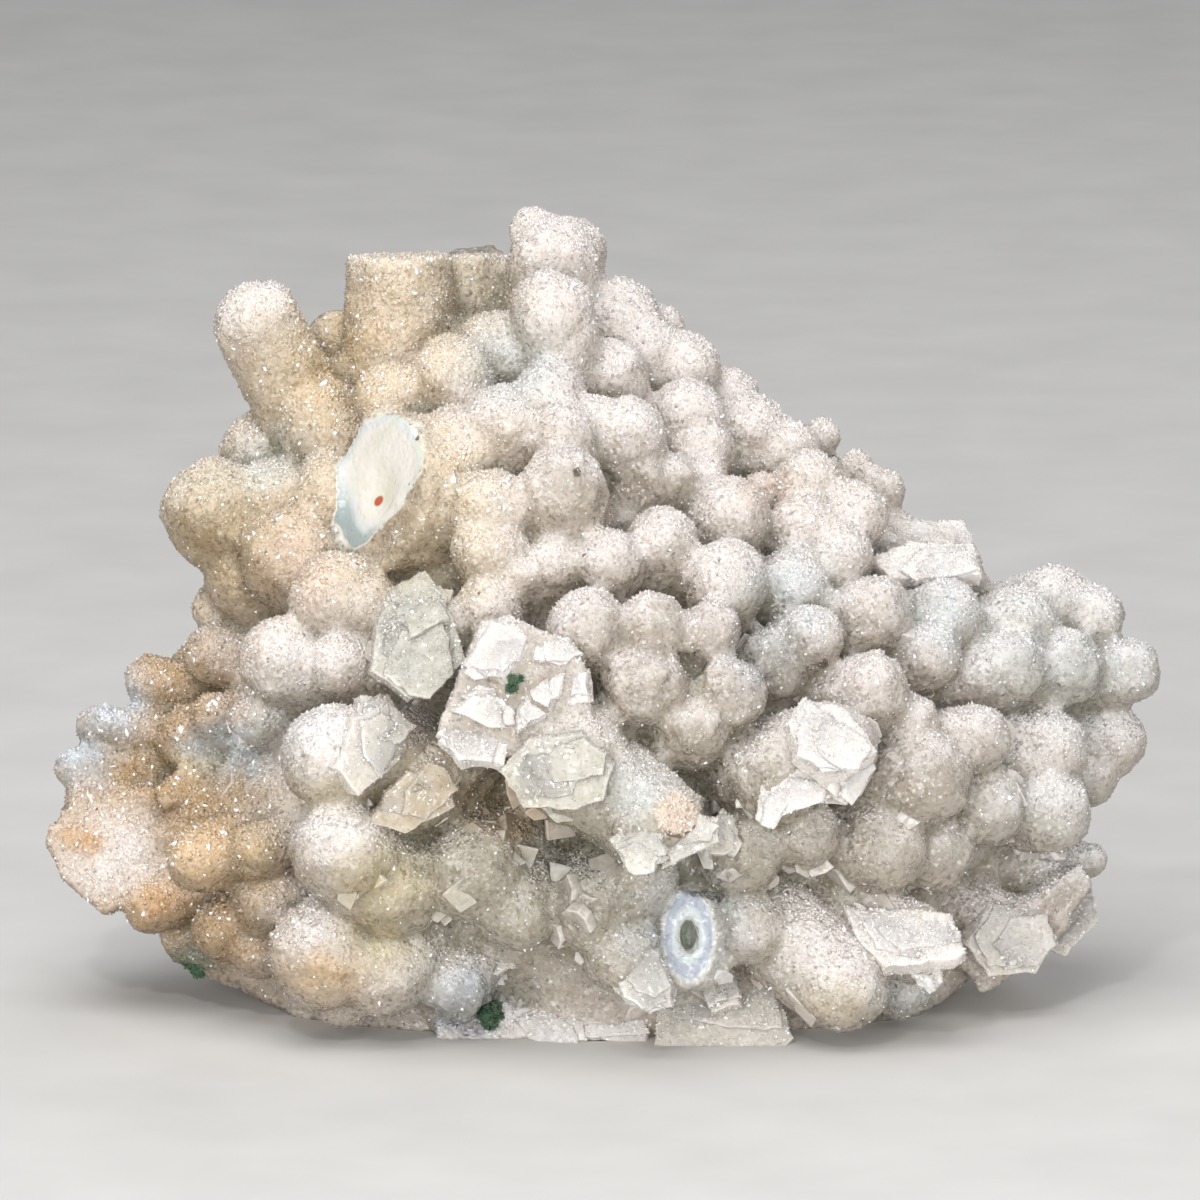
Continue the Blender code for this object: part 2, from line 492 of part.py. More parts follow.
def add_plate(form, plate, grow=0.0):
    """A flat crystal or wall with a many-cornered face towards the viewer, narrowing to its back."""
    count = len(plate.corners)
    corners = [Vector(corner) for corner in plate.corners]
    middle = sum(corners, Vector((0, 0))) / count
    out = face_depth(*middle) if plate is BIG_BREAK else knob_surface_depth(*middle)
    normal = Vector((-plate.slope[0], -plate.slope[1], 1.0)).normalized()
    narrowed = [middle.lerp(corner, CRYSTAL_TAPER) for corner in corners]
    points = []
    for outline, sink in ((corners, grow), (narrowed, -plate.thick - grow)):
        for corner in grown_outline(outline, grow):
            rise = plate.slope[0] * (corner.x - middle.x) + plate.slope[1] * (corner.y - middle.y)
            points.append(Vector((corner.x, corner.y, out + plate.proud + rise)) + normal * sink)
    faces = [tuple(range(count)), tuple(range(2 * count - 1, count - 1, -1))]
    for index in range(count):
        following = (index + 1) % count
        faces.append((index, index + count, following + count, following))
    form.add(points, faces)


def add_tuft(form, tuft, grow=0.0):
    """A small lumpy ball of celadonite, longer into the stone than it is wide."""
    across, up = tuft.across, tuft.up
    middle = Vector((across, up, knob_surface_depth(across, up) + tuft.proud))
    points, faces = unit_ball(8, 6)
    for index, point in enumerate(points):
        lumps = 1 + TUFT_LUMPINESS * noise.noise(point * TUFT_LUMP_SCALE + middle)
        reach = tuft.radius * lumps + grow
        points[index] = middle + Vector((point.x * reach, point.y * reach, point.z * reach * TUFT_LENGTH))
    form.add(points, faces)


def add_boolean(obj, other, operation):
    """Joins or cuts with another object, which may hold several overlapping shells."""
    boolean = obj.modifiers.new(operation.lower(), "BOOLEAN")
    boolean.operation = operation
    boolean.object = other
    boolean.use_self = True


def pieces_of(shell):
    """The faces of a mesh, parted where they don't hang together along an edge of two, the smallest first."""
    pieces = []
    waiting = set(shell.faces)
    while waiting:
        piece = set()
        border = {waiting.pop()}
        while border:
            face = border.pop()
            piece.add(face)
            whole = [edge for edge in face.edges if len(edge.link_faces) == 2]
            border |= {other for edge in whole for other in edge.link_faces} - piece
        waiting -= piece
        pieces.append(piece)
    return sorted(pieces, key=len)


def applied(obj):
    """Replaces the object's mesh with what its modifiers make, without the chips that a cut leaves loose."""
    graph = bpy.context.evaluated_depsgraph_get()
    mesh = bpy.data.meshes.new_from_object(obj.evaluated_get(graph))
    obj.modifiers.clear()
    obj.data = mesh
    shell = bmesh.new()
    shell.from_mesh(mesh)
    chips = [face for piece in pieces_of(shell)[:-1] for face in piece]
    bmesh.ops.delete(shell, geom=chips, context="FACES")
    shell.to_mesh(mesh)
    shell.free()


def finish(obj, material, smooth_angle):
    """Gives an object its material, shaded smooth except over its sharp edges."""
    obj.data.materials.clear()
    obj.data.materials.append(material)
    obj.data.shade_smooth()
    obj.data.set_sharp_from_angle(angle=math.radians(smooth_angle))


def stone_material(name, colour, roughness, transmission=0.0):
    """A plain mineral finish."""
    material = bpy.data.materials.new(name)
    material.use_nodes = True
    shader = material.node_tree.nodes["Principled BSDF"]
    shader.inputs["Base Color"].default_value = (*colour, 1.0)
    shader.inputs["Roughness"].default_value = roughness
    shader.inputs["Metallic"].default_value = 0.0
    shader.inputs["Transmission Weight"].default_value = transmission
    material.diffuse_color = (*colour, 1.0)
    return material


def below_cut():
    """The block that is sawn off under the specimen, in the face frame."""
    block = bpy.data.meshes.new("below_cut")
    reach = CUTTER_REACH * MM
    corners = [(x, y, z) for x in (-reach, reach) for y in (-reach, reach) for z in (-reach, 0.0)]
    sides = [(0, 1, 3, 2), (4, 6, 7, 5), (0, 4, 5, 1), (2, 3, 7, 6), (0, 2, 6, 4), (1, 5, 7, 3)]
    block.from_pydata(corners, [], sides)
    made = bpy.data.objects.new("below_cut", block)
    bpy.context.scene.collection.objects.link(made)
    made.hide_render = True
    made.display_type = "WIRE"
    return made


def agate_eye():
    """The oval hole in the middle of the banded ring at the foot."""
    form = Form()
    points, faces = unit_ball(10, 6)
    radius = AGATE_EYE.radius
    middle = Vector((AGATE_EYE.across, AGATE_EYE.up, knob_surface_depth(AGATE_EYE.across, AGATE_EYE.up)))
    stretch = Vector((radius, radius * AGATE_EYE_STRETCH, AGATE_EYE_DEPTH))
    form.add([middle + point * stretch for point in points], faces)
    return cutter_of("agate_eye", form)


def build_chalcedony(material, cut):
    """The mound with its knobs, as one skin, sawn flat underneath and socketed for the crystals."""
    form = Form()
    ball = unit_ball(KNOB_SEGMENTS, KNOB_RINGS)
    add_mound(form)
    for knob in KNOBS:
        add_knob(form, knob, ball)
    for knob in BROKEN_COLUMNS:
        add_knob(form, knob, ball, broken=True)
    for wall in WALLS + [BIG_BREAK]:
        add_plate(form, wall)
    chalcedony = object_of("chalcedony", form)
    skin = chalcedony.modifiers.new("skin", "REMESH")
    skin.mode = "VOXEL"
    skin.voxel_size = SKIN_VOXEL * MM
    applied(chalcedony)
    coarse = chalcedony.modifiers.new("coarse", "DECIMATE")
    coarse.ratio = CHALCEDONY_TRIANGLES / (2 * len(chalcedony.data.polygons))
    applied(chalcedony)
    add_boolean(chalcedony, cut, "DIFFERENCE")
    add_boolean(chalcedony, sockets(), "DIFFERENCE")
    add_boolean(chalcedony, agate_eye(), "DIFFERENCE")
    applied(chalcedony)
    finish(chalcedony, material, SMOOTH_STONE)


def sockets():
    """Everything that is set in the chalcedony, larger all round by the gap."""
    form = Form()
    for plates in STILBITE.values():
        for plate in plates:
            add_plate(form, plate, CRYSTAL_GAP)
    for tuft in CELADONITE.values():
        add_tuft(form, tuft, CRYSTAL_GAP)
    return cutter_of("sockets", form)


def build_stilbite(name, plates, material, cut):
    """One cluster of stilbite: its plates joined in one solid."""
    first = Form()
    others = Form()
    add_plate(first, plates[0])
    for plate in plates[1:]:
        add_plate(others, plate)
    cluster = object_of(name, first)
    add_boolean(cluster, cutter_of(name + "_others", others), "UNION")
    add_boolean(cluster, cut, "DIFFERENCE")
    applied(cluster)
    finish(cluster, material, SMOOTH_CRYSTAL)


def build_celadonite(name, tuft, material, cut):
    """One tuft of celadonite."""
    form = Form()
    add_tuft(form, tuft)
    piece = object_of(name, form)
    add_boolean(piece, cut, "DIFFERENCE")
    applied(piece)
    finish(piece, material, SMOOTH_TUFT)


def build():
    """Clears the scene and models the specimen."""
    for old in list(bpy.data.objects):
        bpy.data.objects.remove(old)
    chalcedony = stone_material("chalcedony", (0.72, 0.70, 0.64), 0.45)
    stilbite = stone_material("stilbite", (0.80, 0.78, 0.70), 0.25, 0.3)
    celadonite = stone_material("celadonite", (0.04, 0.09, 0.06), 0.8)
    cut = below_cut()
    build_chalcedony(chalcedony, cut)
    for name, plates in STILBITE.items():
        build_stilbite(name, plates, stilbite, cut)
    for name, tuft in CELADONITE.items():
        build_celadonite(name, tuft, celadonite, cut)


build()
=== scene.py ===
"""Dresses the chalcedony with stilbite: sugary quartz on milky knobs, stilbite plates, celadonite, a stage.

The specimen is laid out in its face frame, in millimetres, as it is seen square-on: across to the right, up
the face, and out towards the viewer. face_to_world turns that into the frame's own metres.
"""

import math
from collections import namedtuple

import bmesh
import bpy
import numpy as np
from bpy.props import FloatProperty, FloatVectorProperty, IntProperty
from mathutils import Matrix, Vector, noise


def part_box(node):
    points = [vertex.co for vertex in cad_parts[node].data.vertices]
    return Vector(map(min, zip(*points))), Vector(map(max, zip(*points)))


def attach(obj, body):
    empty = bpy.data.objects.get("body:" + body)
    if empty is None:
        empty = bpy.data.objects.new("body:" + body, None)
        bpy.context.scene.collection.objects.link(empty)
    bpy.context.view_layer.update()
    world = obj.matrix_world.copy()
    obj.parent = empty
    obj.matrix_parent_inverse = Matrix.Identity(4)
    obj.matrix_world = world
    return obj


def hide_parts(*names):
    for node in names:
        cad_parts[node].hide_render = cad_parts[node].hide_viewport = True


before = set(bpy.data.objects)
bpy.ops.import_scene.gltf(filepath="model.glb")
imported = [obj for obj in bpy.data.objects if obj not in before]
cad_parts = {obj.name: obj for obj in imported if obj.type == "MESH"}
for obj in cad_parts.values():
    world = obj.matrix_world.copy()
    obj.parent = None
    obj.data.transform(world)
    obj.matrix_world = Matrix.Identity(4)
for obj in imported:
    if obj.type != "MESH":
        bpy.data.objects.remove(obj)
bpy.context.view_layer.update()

bl_info = {
    "name": "Chalcedony with stilbite",
    "version": (1, 0, 0),
    "blender": (4, 5, 0),
    "location": "View3D > Sidebar > Specimen",
    "description": "Grows the fine surface, crystals and finishes of the specimen on its solids",
    "category": "Object",
}

MM = 0.001
STILBITE_SEED = 100
TABLET_SEED = 41
CELADONITE_SEED = 70
DRUSE_SEED = 7

FACE_LEAN = math.radians(12)
CUT_HEIGHT = 3.5
BASE_ACROSS = 3.0
BASE_BACK = 5.0

MOUND_MIDDLE = np.array((0.0, 30.0))
MOUND_SEGMENTS = 144
MOUND_RINGS = 22
FACE_HEIGHT = 23.0
FACE_ROUNDNESS = 2.1
EDGE_SIDE = 1.0
EDGE_FOOT = 12.0
EDGE_CROWN = -3.0
MOUND_UNDER_KNOBS = 3.0
BACK_DEPTH_FOOT = 26.0
BACK_DEPTH_CROWN = 14.0
BACK_EDGE = 8.0
CROWN_HEIGHT = 84.0
FOOT_HEIGHT = 16.0
FACET_SIZE = 17.0
FACET_TILT = 0.8
FACET_STEP = 4.0
BACK_ROUGHNESS = 1.6
# How far behind the face's zero plane the broken rock of the back begins, and where it is all there is.
REAR_START = 7.5
REAR_FULL = 11.0

GROWTH_CENTRE = Vector((0.0, 26.0, -10.0))
ROOT_LENGTH = 13.0
ROOT_SPREAD = 1.12
KNOB_LUMPINESS = 0.07
TIP_SINK = 0.3
CRYSTAL_TAPER = 0.82
CRYSTAL_LEAN = -0.36

Knob = namedtuple("Knob", "across up radius proud root", defaults=(None,))
Hollow = namedtuple("Hollow", "across up radius depth")
# Corners are (across, up) pairs, anticlockwise; slope is the rise outward per mm across and per mm up.
Plate = namedtuple("Plate", "corners proud slope thick")
# A patch of the face: its middle, its reach across and up, the finish that it turns to and how strongly.
Stain = namedtuple("Stain", "across up wide high finish strength")
# A zone of the face where something grows: its middle, its reach across and up, and how strongly.
Zone = namedtuple("Zone", "across up wide high strength")
Skirt = namedtuple("Skirt", "across up start end reach count size")

# The outline of the mound behind the knobs, clockwise from the crown.
OUTLINE = [
    (-5, 80), (1, 74), (8, 69), (13, 64), (20, 59), (27, 56), (31, 52.5), (37, 51), (39, 46), (48, 42),
    (52, 37), (52, 30), (48, 24), (46, 17), (41, 10), (34, 4), (25, -1), (18, -3), (4, -4), (-6, -4),
    (-16, -3), (-25, -1), (-31, 3), (-40, 8), (-48, 14), (-53.5, 18.5), (-54, 24), (-49, 31), (-45, 36),
    (-39, 43), (-37, 50), (-33, 59), (-28, 66), (-25, 74), (-18, 76), (-11, 75),
]

HOLLOWS = [
    Hollow(-43, 31, 7.0, 8.0), Hollow(-12, 25.5, 3.0, 6.0), Hollow(-7, 44.5, 2.0, 3.0),
    Hollow(14.5, 39.5, 3.2, 3.0), Hollow(34, 35, 3.0, 4.0), Hollow(15.5, 57, 2.5, 3.0),
    Hollow(-4, 21, 3.5, 4.0), Hollow(-9.5, 4, 4.5, 3.0), Hollow(12, 27, 2.8, 3.5), Hollow(18, 20, 3.0, 3.0),
    Hollow(37, 14, 3.0, 4.0), Hollow(-25.5, 70, 2.0, 4.0),
]

UPPER_LEFT_KNOBS = [
    Knob(-34.2, 71.8, 4.4, 4.0, (6.0, -11.5, -4.0)), Knob(-27.8, 61.8, 4.8, 0.5),
    Knob(-33.8, 59.0, 4.3, -2.0), Knob(-38.2, 53.1, 5.5, 3.0, (7.5, -5.5, -3.0)),
    Knob(-32.5, 54.3, 4.2, 1.0), Knob(-31.0, 48.5, 5.0, 1.5), Knob(-35.0, 46.6, 4.6, -1.0),
    Knob(-26.5, 70.3, 3.2, -5.0), Knob(-25.6, 66.0, 3.0, -4.0), Knob(-20.8, 64.3, 3.8, 1.5),
    Knob(-14.7, 66.6, 4.1, 2.0), Knob(-14.0, 58.8, 4.7, 0.0), Knob(-9.5, 61.5, 4.2, 2.5),
    Knob(-10.8, 53.2, 4.1, 2.0), Knob(-11.0, 49.3, 3.8, 1.0), Knob(-26.0, 44.3, 4.8, 1.5),
    Knob(-22.5, 43.3, 3.5, 0.0), Knob(-26.5, 54.5, 4.5, -1.5),
]

CROWN_KNOBS = [
    Knob(-4.6, 78.0, 4.9, 0.0, (0.3, -12.0, -2.0)), Knob(-2.3, 79.6, 3.0, 0.0, (-1.0, -6.0, -1.0)),
    Knob(-6.6, 81.2, 2.6, 0.5, (1.0, -6.0, -1.0)), Knob(-4.8, 72.5, 4.5, 4.0), Knob(-10.8, 69.5, 3.6, 1.5),
    Knob(-7.8, 68.1, 3.1, 0.5), Knob(2.0, 72.3, 4.2, 0.0), Knob(1.2, 66.8, 3.6, -0.5),
    Knob(4.5, 69.1, 3.6, -0.5), Knob(6.0, 71.6, 2.6, -2.0), Knob(8.3, 67.4, 3.8, 0.0),
    Knob(-4.9, 64.5, 3.6, 1.0), Knob(-3.8, 60.3, 3.5, 1.5), Knob(-3.8, 55.0, 4.4, 3.0),
    Knob(2.7, 60.6, 3.9, 2.5), Knob(-0.3, 61.8, 2.8, 1.5), Knob(8.8, 62.6, 3.8, 1.5),
    Knob(10.0, 59.1, 3.6, 0.0), Knob(14.5, 61.1, 4.2, -1.0), Knob(12.8, 64.2, 3.4, -1.5),
    Knob(7.2, 56.5, 2.5, 0.0), Knob(10.5, 56.1, 2.3, 0.0), Knob(4.5, 56.5, 2.3, 0.0),
]

UPPER_RIGHT_KNOBS = [
    Knob(18.5, 58.6, 3.8, -1.0), Knob(22.3, 60.7, 1.9, -3.0), Knob(20.8, 56.1, 3.3, 3.5),
    Knob(25.3, 52.6, 3.6, 2.5), Knob(20.3, 51.3, 3.5, 1.0), Knob(28.3, 55.3, 2.3, -2.0),
    Knob(25.8, 57.6, 1.8, -2.5), Knob(23.8, 48.6, 3.4, 1.5), Knob(19.0, 45.5, 3.8, -0.5),
    Knob(27.3, 43.1, 3.7, 3.0), Knob(20.8, 40.6, 3.2, 2.5), Knob(34.2, 42.6, 4.0, 1.5),
    Knob(32.5, 38.8, 3.4, 0.0), Knob(45.5, 44.0, 3.8, 1.0, (-7.0, -3.0, -4.0)),
    Knob(49.0, 42.6, 3.5, 0.5, (-8.0, -4.0, -4.0)), Knob(41.5, 41.6, 4.2, 0.5),
    Knob(52.7, 37.1, 3.4, 1.5, (-10.0, -1.5, -4.0)), Knob(46.5, 37.6, 3.8, 1.0), Knob(40.5, 37.6, 4.0, 0.0),
    Knob(16.0, 55.1, 2.0, -1.0), Knob(13.0, 52.6, 4.0, 2.5), Knob(12.5, 46.1, 4.2, 2.5),
    Knob(6.2, 50.0, 3.6, 2.0), Knob(10.9, 41.1, 3.0, 3.0), Knob(0.8, 48.1, 3.3, 1.5),
    Knob(-4.8, 48.0, 2.7, 0.5), Knob(-8.0, 46.8, 2.4, 0.0), Knob(33.5, 47.0, 3.8, -2.0),
]

MIDDLE_KNOBS = [
    Knob(-31.3, 38.2, 4.5, 3.5), Knob(-25.5, 37.8, 3.2, 2.0), Knob(-34.2, 32.3, 2.6, 0.5),
    Knob(-17.7, 40.3, 4.8, 3.0), Knob(-11.0, 43.1, 3.5, 1.0), Knob(-1.2, 41.5, 4.0, 2.5),
    Knob(5.1, 41.6, 3.6, 3.0), Knob(4.3, 36.1, 4.3, 3.0), Knob(12.7, 35.1, 3.6, 2.5),
    Knob(9.0, 31.6, 3.8, 1.5), Knob(17.2, 38.1, 3.6, -0.5), Knob(-2.8, 28.0, 5.9, 5.0, (-1.5, 3.5, -9.0)),
    Knob(1.0, 25.3, 4.8, 5.0), Knob(5.2, 22.5, 4.9, 7.0, (-5.0, 4.0, -6.0)), Knob(-26.2, 28.8, 5.2, 6.0),
    Knob(-22.0, 29.8, 4.4, 3.5), Knob(-18.0, 25.8, 4.2, 0.5), Knob(-14.5, 28.3, 3.0, -0.5),
    Knob(22.6, 29.8, 4.6, 5.5, (-6.0, -2.0, -7.0)), Knob(17.5, 27.1, 4.6, 3.0), Knob(26.8, 35.3, 3.8, 2.0),
    Knob(30.5, 32.1, 3.0, 0.5), Knob(32.0, 26.6, 4.7, 3.5), Knob(37.3, 30.6, 3.3, 2.0),
    Knob(45.0, 29.5, 3.7, 1.5), Knob(51.0, 30.1, 3.8, -2.0), Knob(48.5, 26.8, 3.4, -2.0),
    Knob(44.6, 23.3, 4.3, 4.0, (-7.0, 1.5, -5.0)), Knob(38.5, 24.0, 4.0, 2.0),
]

LOWER_KNOBS = [
    Knob(-25.3, 19.6, 5.1, 7.0, (5.5, -4.0, -8.0)), Knob(-20.5, 15.8, 4.6, 3.5), Knob(-27.2, 9.3, 5.6, 6.0),
    Knob(-21.2, 7.8, 4.8, 3.5), Knob(-25.5, 5.3, 3.4, 3.5), Knob(-12.0, 17.5, 5.0, 2.0),
    Knob(-8.0, 14.0, 4.2, 1.5), Knob(-0.8, 13.8, 4.4, 1.5), Knob(4.0, 16.3, 3.8, 1.0),
    Knob(2.2, 9.5, 4.2, 2.5), Knob(14.0, 19.3, 4.0, 0.0), Knob(20.3, 21.3, 3.5, 1.0),
    Knob(28.0, 19.8, 4.5, 1.5), Knob(33.0, 19.3, 4.0, 0.5), Knob(23.8, 6.5, 4.8, 5.5, (-8.5, 7.0, -5.0)),
    Knob(30.8, 10.5, 4.0, 4.5, (-9.0, 4.5, -5.0)), Knob(29.8, 5.3, 2.9, 0.0), Knob(40.0, 11.8, 3.6, -1.0),
    Knob(45.5, 16.1, 3.0, -1.5), Knob(49.0, 18.3, 1.8, -2.0), Knob(14.5, 12.0, 3.8, 0.5),
    Knob(-14.5, 6.0, 3.4, 0.0), Knob(-39.5, 18.8, 3.6, 2.0), Knob(-34.0, 19.5, 2.9, 1.5),
    Knob(-37.4, 11.5, 3.2, 1.0), Knob(-33.8, 9.3, 2.8, 0.5), Knob(-45.0, 13.8, 2.6, 0.5),
    Knob(-33.0, 14.5, 3.6, 0.0),
]

HOLLOW_LUMPS = [
    Knob(-45.0, 36.1, 2.6, -2.5), Knob(-38.7, 38.8, 3.0, -2.5), Knob(-41.0, 30.3, 3.4, -6.0),
    Knob(-47.5, 27.5, 2.2, -4.5), Knob(-38.3, 32.5, 2.6, -4.0), Knob(-51.5, 24.5, 2.0, -1.5),
    Knob(-50.3, 31.6, 2.2, -0.5), Knob(-52.6, 27.6, 2.0, -0.5), Knob(-38.5, 43.5, 2.4, -2.0),
]

KNOBS = UPPER_LEFT_KNOBS + CROWN_KNOBS + UPPER_RIGHT_KNOBS + MIDDLE_KNOBS + LOWER_KNOBS + HOLLOW_LUMPS

# Stalactites that end in a break: the place is the middle of the break.
BROKEN_COLUMNS = [
    Knob(-20.0, 78.6, 5.3, 1.0, (0.0, -13.0, -1.0)), Knob(-13.3, 78.9, 4.0, -3.0, (0.5, -9.0, -1.0)),
    Knob(-21.3, 55.1, 7.9, 5.0, (9.0, -1.0, -6.5)), Knob(9.0, 10.5, 4.9, 2.5, (-1.0, 1.5, -10.0)),
]

# The broken end of the biggest stalactite, which has the celadonite core in its middle.
BIG_BREAK = Plate([(-11.7, 42.5), (-16.0, 31.1), (-13.5, 28.6), (-3.0, 29.0), (-0.5, 33.5), (-1.3, 38.0),
                   (-4.5, 41.1), (-8.0, 42.6)], 7.5, (-0.1, -0.15), 15.0)

# Flat-faced parts of the chalcedony itself: the drusy wall at the left and the rims.
WALLS = [
    Plate([(-53.5, 23.5), (-55.6, 20.5), (-54.2, 17.0), (-49.5, 12.8), (-43.0, 16.0), (-41.5, 23.3),
           (-45.0, 26.0)], 2.0, (0.1, -0.25), 5.0),
    Plate([(-44.5, 25.5), (-43.5, 23.5), (-36.5, 27.0), (-35.5, 30.5), (-38.0, 30.8)], 1.5, (0.0, -0.5),
           4.0),
    Plate([(-17.0, 4.0), (-16.5, 0.5), (-5.0, -1.5), (3.0, -1.0), (2.0, 4.5), (-6.0, 5.5), (-14.0, 8.5)],
           1.5, (0.0, -0.6), 7.0),
    Plate([(-44.5, 11.0), (-43.0, 8.0), (-31.5, 3.0), (-29.5, 5.5), (-36.0, 9.5)], -1.0, (0.1, 0.4), 5.0),
    Plate([(34.5, 8.5), (38.5, 4.5), (46.0, 10.5), (49.5, 16.0), (48.0, 18.0), (41.0, 13.0)], 0.0,
           (-0.2, 0.3), 5.0),
]

AGATE_EYE = Knob(8.7, 11.3, 0.95, 0.0)
AGATE_EYE_STRETCH = 1.8

WEDGE_PLATES = [
    Plate([(18.5, 32.5), (19.0, 29.6), (21.5, 27.3), (24.5, 27.0), (26.8, 29.8), (26.2, 31.5),
           (23.8, 34.0), (20.0, 34.8)], 1.6, (-0.1, -0.45), 3.4),
    Plate([(22.3, 25.5), (23.2, 24.3), (25.0, 25.8), (27.2, 27.8), (26.9, 30.0), (23.5, 29.0)], 1.3,
           (-0.7, 0.5), 3.0),
    Plate([(15.2, 22.8), (16.5, 21.8), (17.0, 23.1), (22.8, 24.6), (23.3, 26.4), (19.5, 28.0),
           (15.8, 26.0)], 1.0, (0.1, 0.25), 3.0),
]

SKIRT_PLATES = [
    Plate([(-9.5, 27.5), (-8.0, 23.6), (-2.5, 23.8), (0.5, 24.6), (2.0, 28.0), (-2.0, 31.0), (-7.0, 30.5)],
           1.1, (0.1, 0.2), 3.4),
    Plate([(-7.0, 24.5), (-4.5, 21.8), (-1.0, 22.5), (1.5, 24.5), (-2.0, 27.0), (-6.0, 27.0)], -1.2,
           (0.0, 0.5), 3.0),
]

BEIGE_KNOB_PLATES = [
    Plate([(0.2, 21.0), (2.5, 18.0), (3.5, 17.4), (6.5, 18.4), (6.0, 21.5), (2.5, 23.0)], 0.9,
           (0.25, 0.35), 3.2),
    Plate([(10.2, 22.3), (10.3, 20.0), (11.2, 19.2), (13.2, 19.3), (14.0, 20.4), (13.7, 22.8),
           (12.0, 24.0)], 1.8, (0.0, -0.1), 3.0),
    Plate([(4.5, 21.5), (6.0, 18.0), (11.5, 20.0), (12.0, 22.5), (9.0, 23.5)], 0.2, (0.0, 0.1), 6.0),
]

LEFT_PLATES = [
    Plate([(-26.0, 27.5), (-23.6, 24.3), (-20.0, 27.3), (-18.8, 30.3), (-20.6, 34.0), (-24.5, 33.5)], 1.2,
           (-0.5, 0.1), 3.2),
    Plate([(-23.5, 35.2), (-24.5, 31.0), (-19.5, 29.5), (-17.8, 31.5), (-20.5, 35.6), (-22.0, 35.0)], 0.6,
           (-0.3, -0.2), 3.0),
]

BROWN_PLATES = [
    Plate([(-22.5, 22.5), (-19.0, 21.3), (-13.5, 23.8), (-13.9, 27.8), (-16.5, 28.6), (-20.5, 25.6)], 1.0,
           (-0.1, 0.15), 3.0),
    Plate([(-19.0, 26.0), (-14.5, 25.0), (-13.2, 27.0), (-13.6, 29.3), (-17.0, 31.0)], 0.5, (-0.3, -0.2),
           3.0),
]

PLATY_KNOB_PLATES = [
    Plate([(-22.5, 37.3), (-18.5, 35.0), (-15.5, 34.4), (-12.7, 38.3), (-14.0, 43.0), (-15.2, 45.4),
           (-20.8, 44.0), (-22.2, 41.8)], 0.8, (-0.1, -0.1), 4.0),
    Plate([(-21.5, 45.3), (-21.8, 41.0), (-14.5, 42.0), (-15.0, 45.6), (-16.5, 46.6)], 0.3, (0.0, -0.4),
           3.2),
]

SHEAF_PLATES = [
    Plate([(27.0, 48.5), (28.0, 46.2), (33.0, 45.8), (38.5, 46.8), (37.0, 50.0), (30.5, 51.0)], 1.8,
           (-0.1, -0.5), 2.6),
    Plate([(29.5, 49.5), (38.0, 48.3), (37.6, 51.0), (36.5, 52.5), (30.3, 52.6)], 0.6, (-0.1, -0.7), 2.6),
    Plate([(26.6, 46.5), (30.0, 44.8), (36.0, 45.2), (35.0, 47.5), (28.0, 48.0)], 1.2, (0.0, -0.15), 2.6),
]

RIM_BLADE_PLATES = [
    Plate([(-14.8, 8.1), (-13.0, 7.2), (-10.0, 7.3), (-8.3, 8.3), (-8.7, 9.4), (-10.0, 9.6), (-14.2, 9.3)],
           1.0, (0.0, -0.2), 2.6),
    Plate([(-12.6, 9.5), (-12.0, 6.0), (-9.0, 6.5), (-9.5, 9.8)], -0.6, (0.0, 0.2), 2.6),
]

FOOT_PLATES = [
    Plate([(1.0, 6.5), (2.5, 4.5), (5.0, 3.0), (7.5, 4.0), (6.8, 9.0), (4.5, 11.0), (2.0, 10.0)], 0.8,
           (0.1, 0.2), 3.0),
    Plate([(5.5, 4.5), (4.0, 0.0), (12.0, -0.5), (18.2, 0.0), (18.8, 1.3), (17.5, 6.0), (15.7, 7.4),
           (11.0, 6.0)], 2.2, (0.0, -0.3), 4.5),
    Plate([(10.0, 6.5), (10.8, 3.5), (14.0, 4.0), (13.3, 8.6), (12.2, 9.4)], 1.4, (0.2, -0.2), 3.0),
]

TIP_PLATES = [
    Plate([(23.5, 14.6), (25.5, 11.0), (28.0, 8.3), (35.5, 8.8), (36.2, 9.8), (35.8, 12.5), (31.0, 13.6)],
           0.9, (0.0, -0.35), 3.4),
    Plate([(29.4, 8.8), (31.0, 6.6), (33.0, 5.6), (34.0, 6.4), (33.4, 8.6)], 1.0, (0.0, 0.4), 2.6),
]

RIGHT_PLATES = [
    Plate([(36.6, 10.0), (38.5, 6.5), (43.5, 7.0), (46.0, 10.5), (44.0, 14.5), (39.0, 14.0)], 0.8,
           (-0.3, 0.2), 4.5),
    Plate([(41.5, 9.5), (46.5, 9.0), (50.0, 12.5), (49.5, 16.0), (43.5, 16.0)], 0.4, (-0.3, 0.1), 4.5),
]

STILBITE = {
    "stilbite_wedge": WEDGE_PLATES,
    "stilbite_skirt": SKIRT_PLATES,
    "stilbite_beside_pale_patch": BEIGE_KNOB_PLATES,
    "stilbite_left_plates": LEFT_PLATES,
    "stilbite_brown_plates": BROWN_PLATES,
    "stilbite_platy_knob": PLATY_KNOB_PLATES,
    "stilbite_sheaf": SHEAF_PLATES,
    "stilbite_rim_blade": RIM_BLADE_PLATES,
    "stilbite_foot_prisms": FOOT_PLATES,
    "stilbite_tip_blades": TIP_PLATES,
    "stilbite_right_blades": RIGHT_PLATES,
}

CELADONITE = {
    "celadonite_core": Knob(-8.3, 36.3, 1.1, 10.5),
    "celadonite_tuft": Knob(-10.9, 3.0, 1.7, 0.4),
    "celadonite_fleck": Knob(-40.5, 8.0, 1.5, 0.0),
}

# How far a tuft stands out over its solid, where the stone's fine relief would cover it.
TUFT_RISE = {"celadonite_tuft_grains": 2.2, "celadonite_core_grains": 0.95}

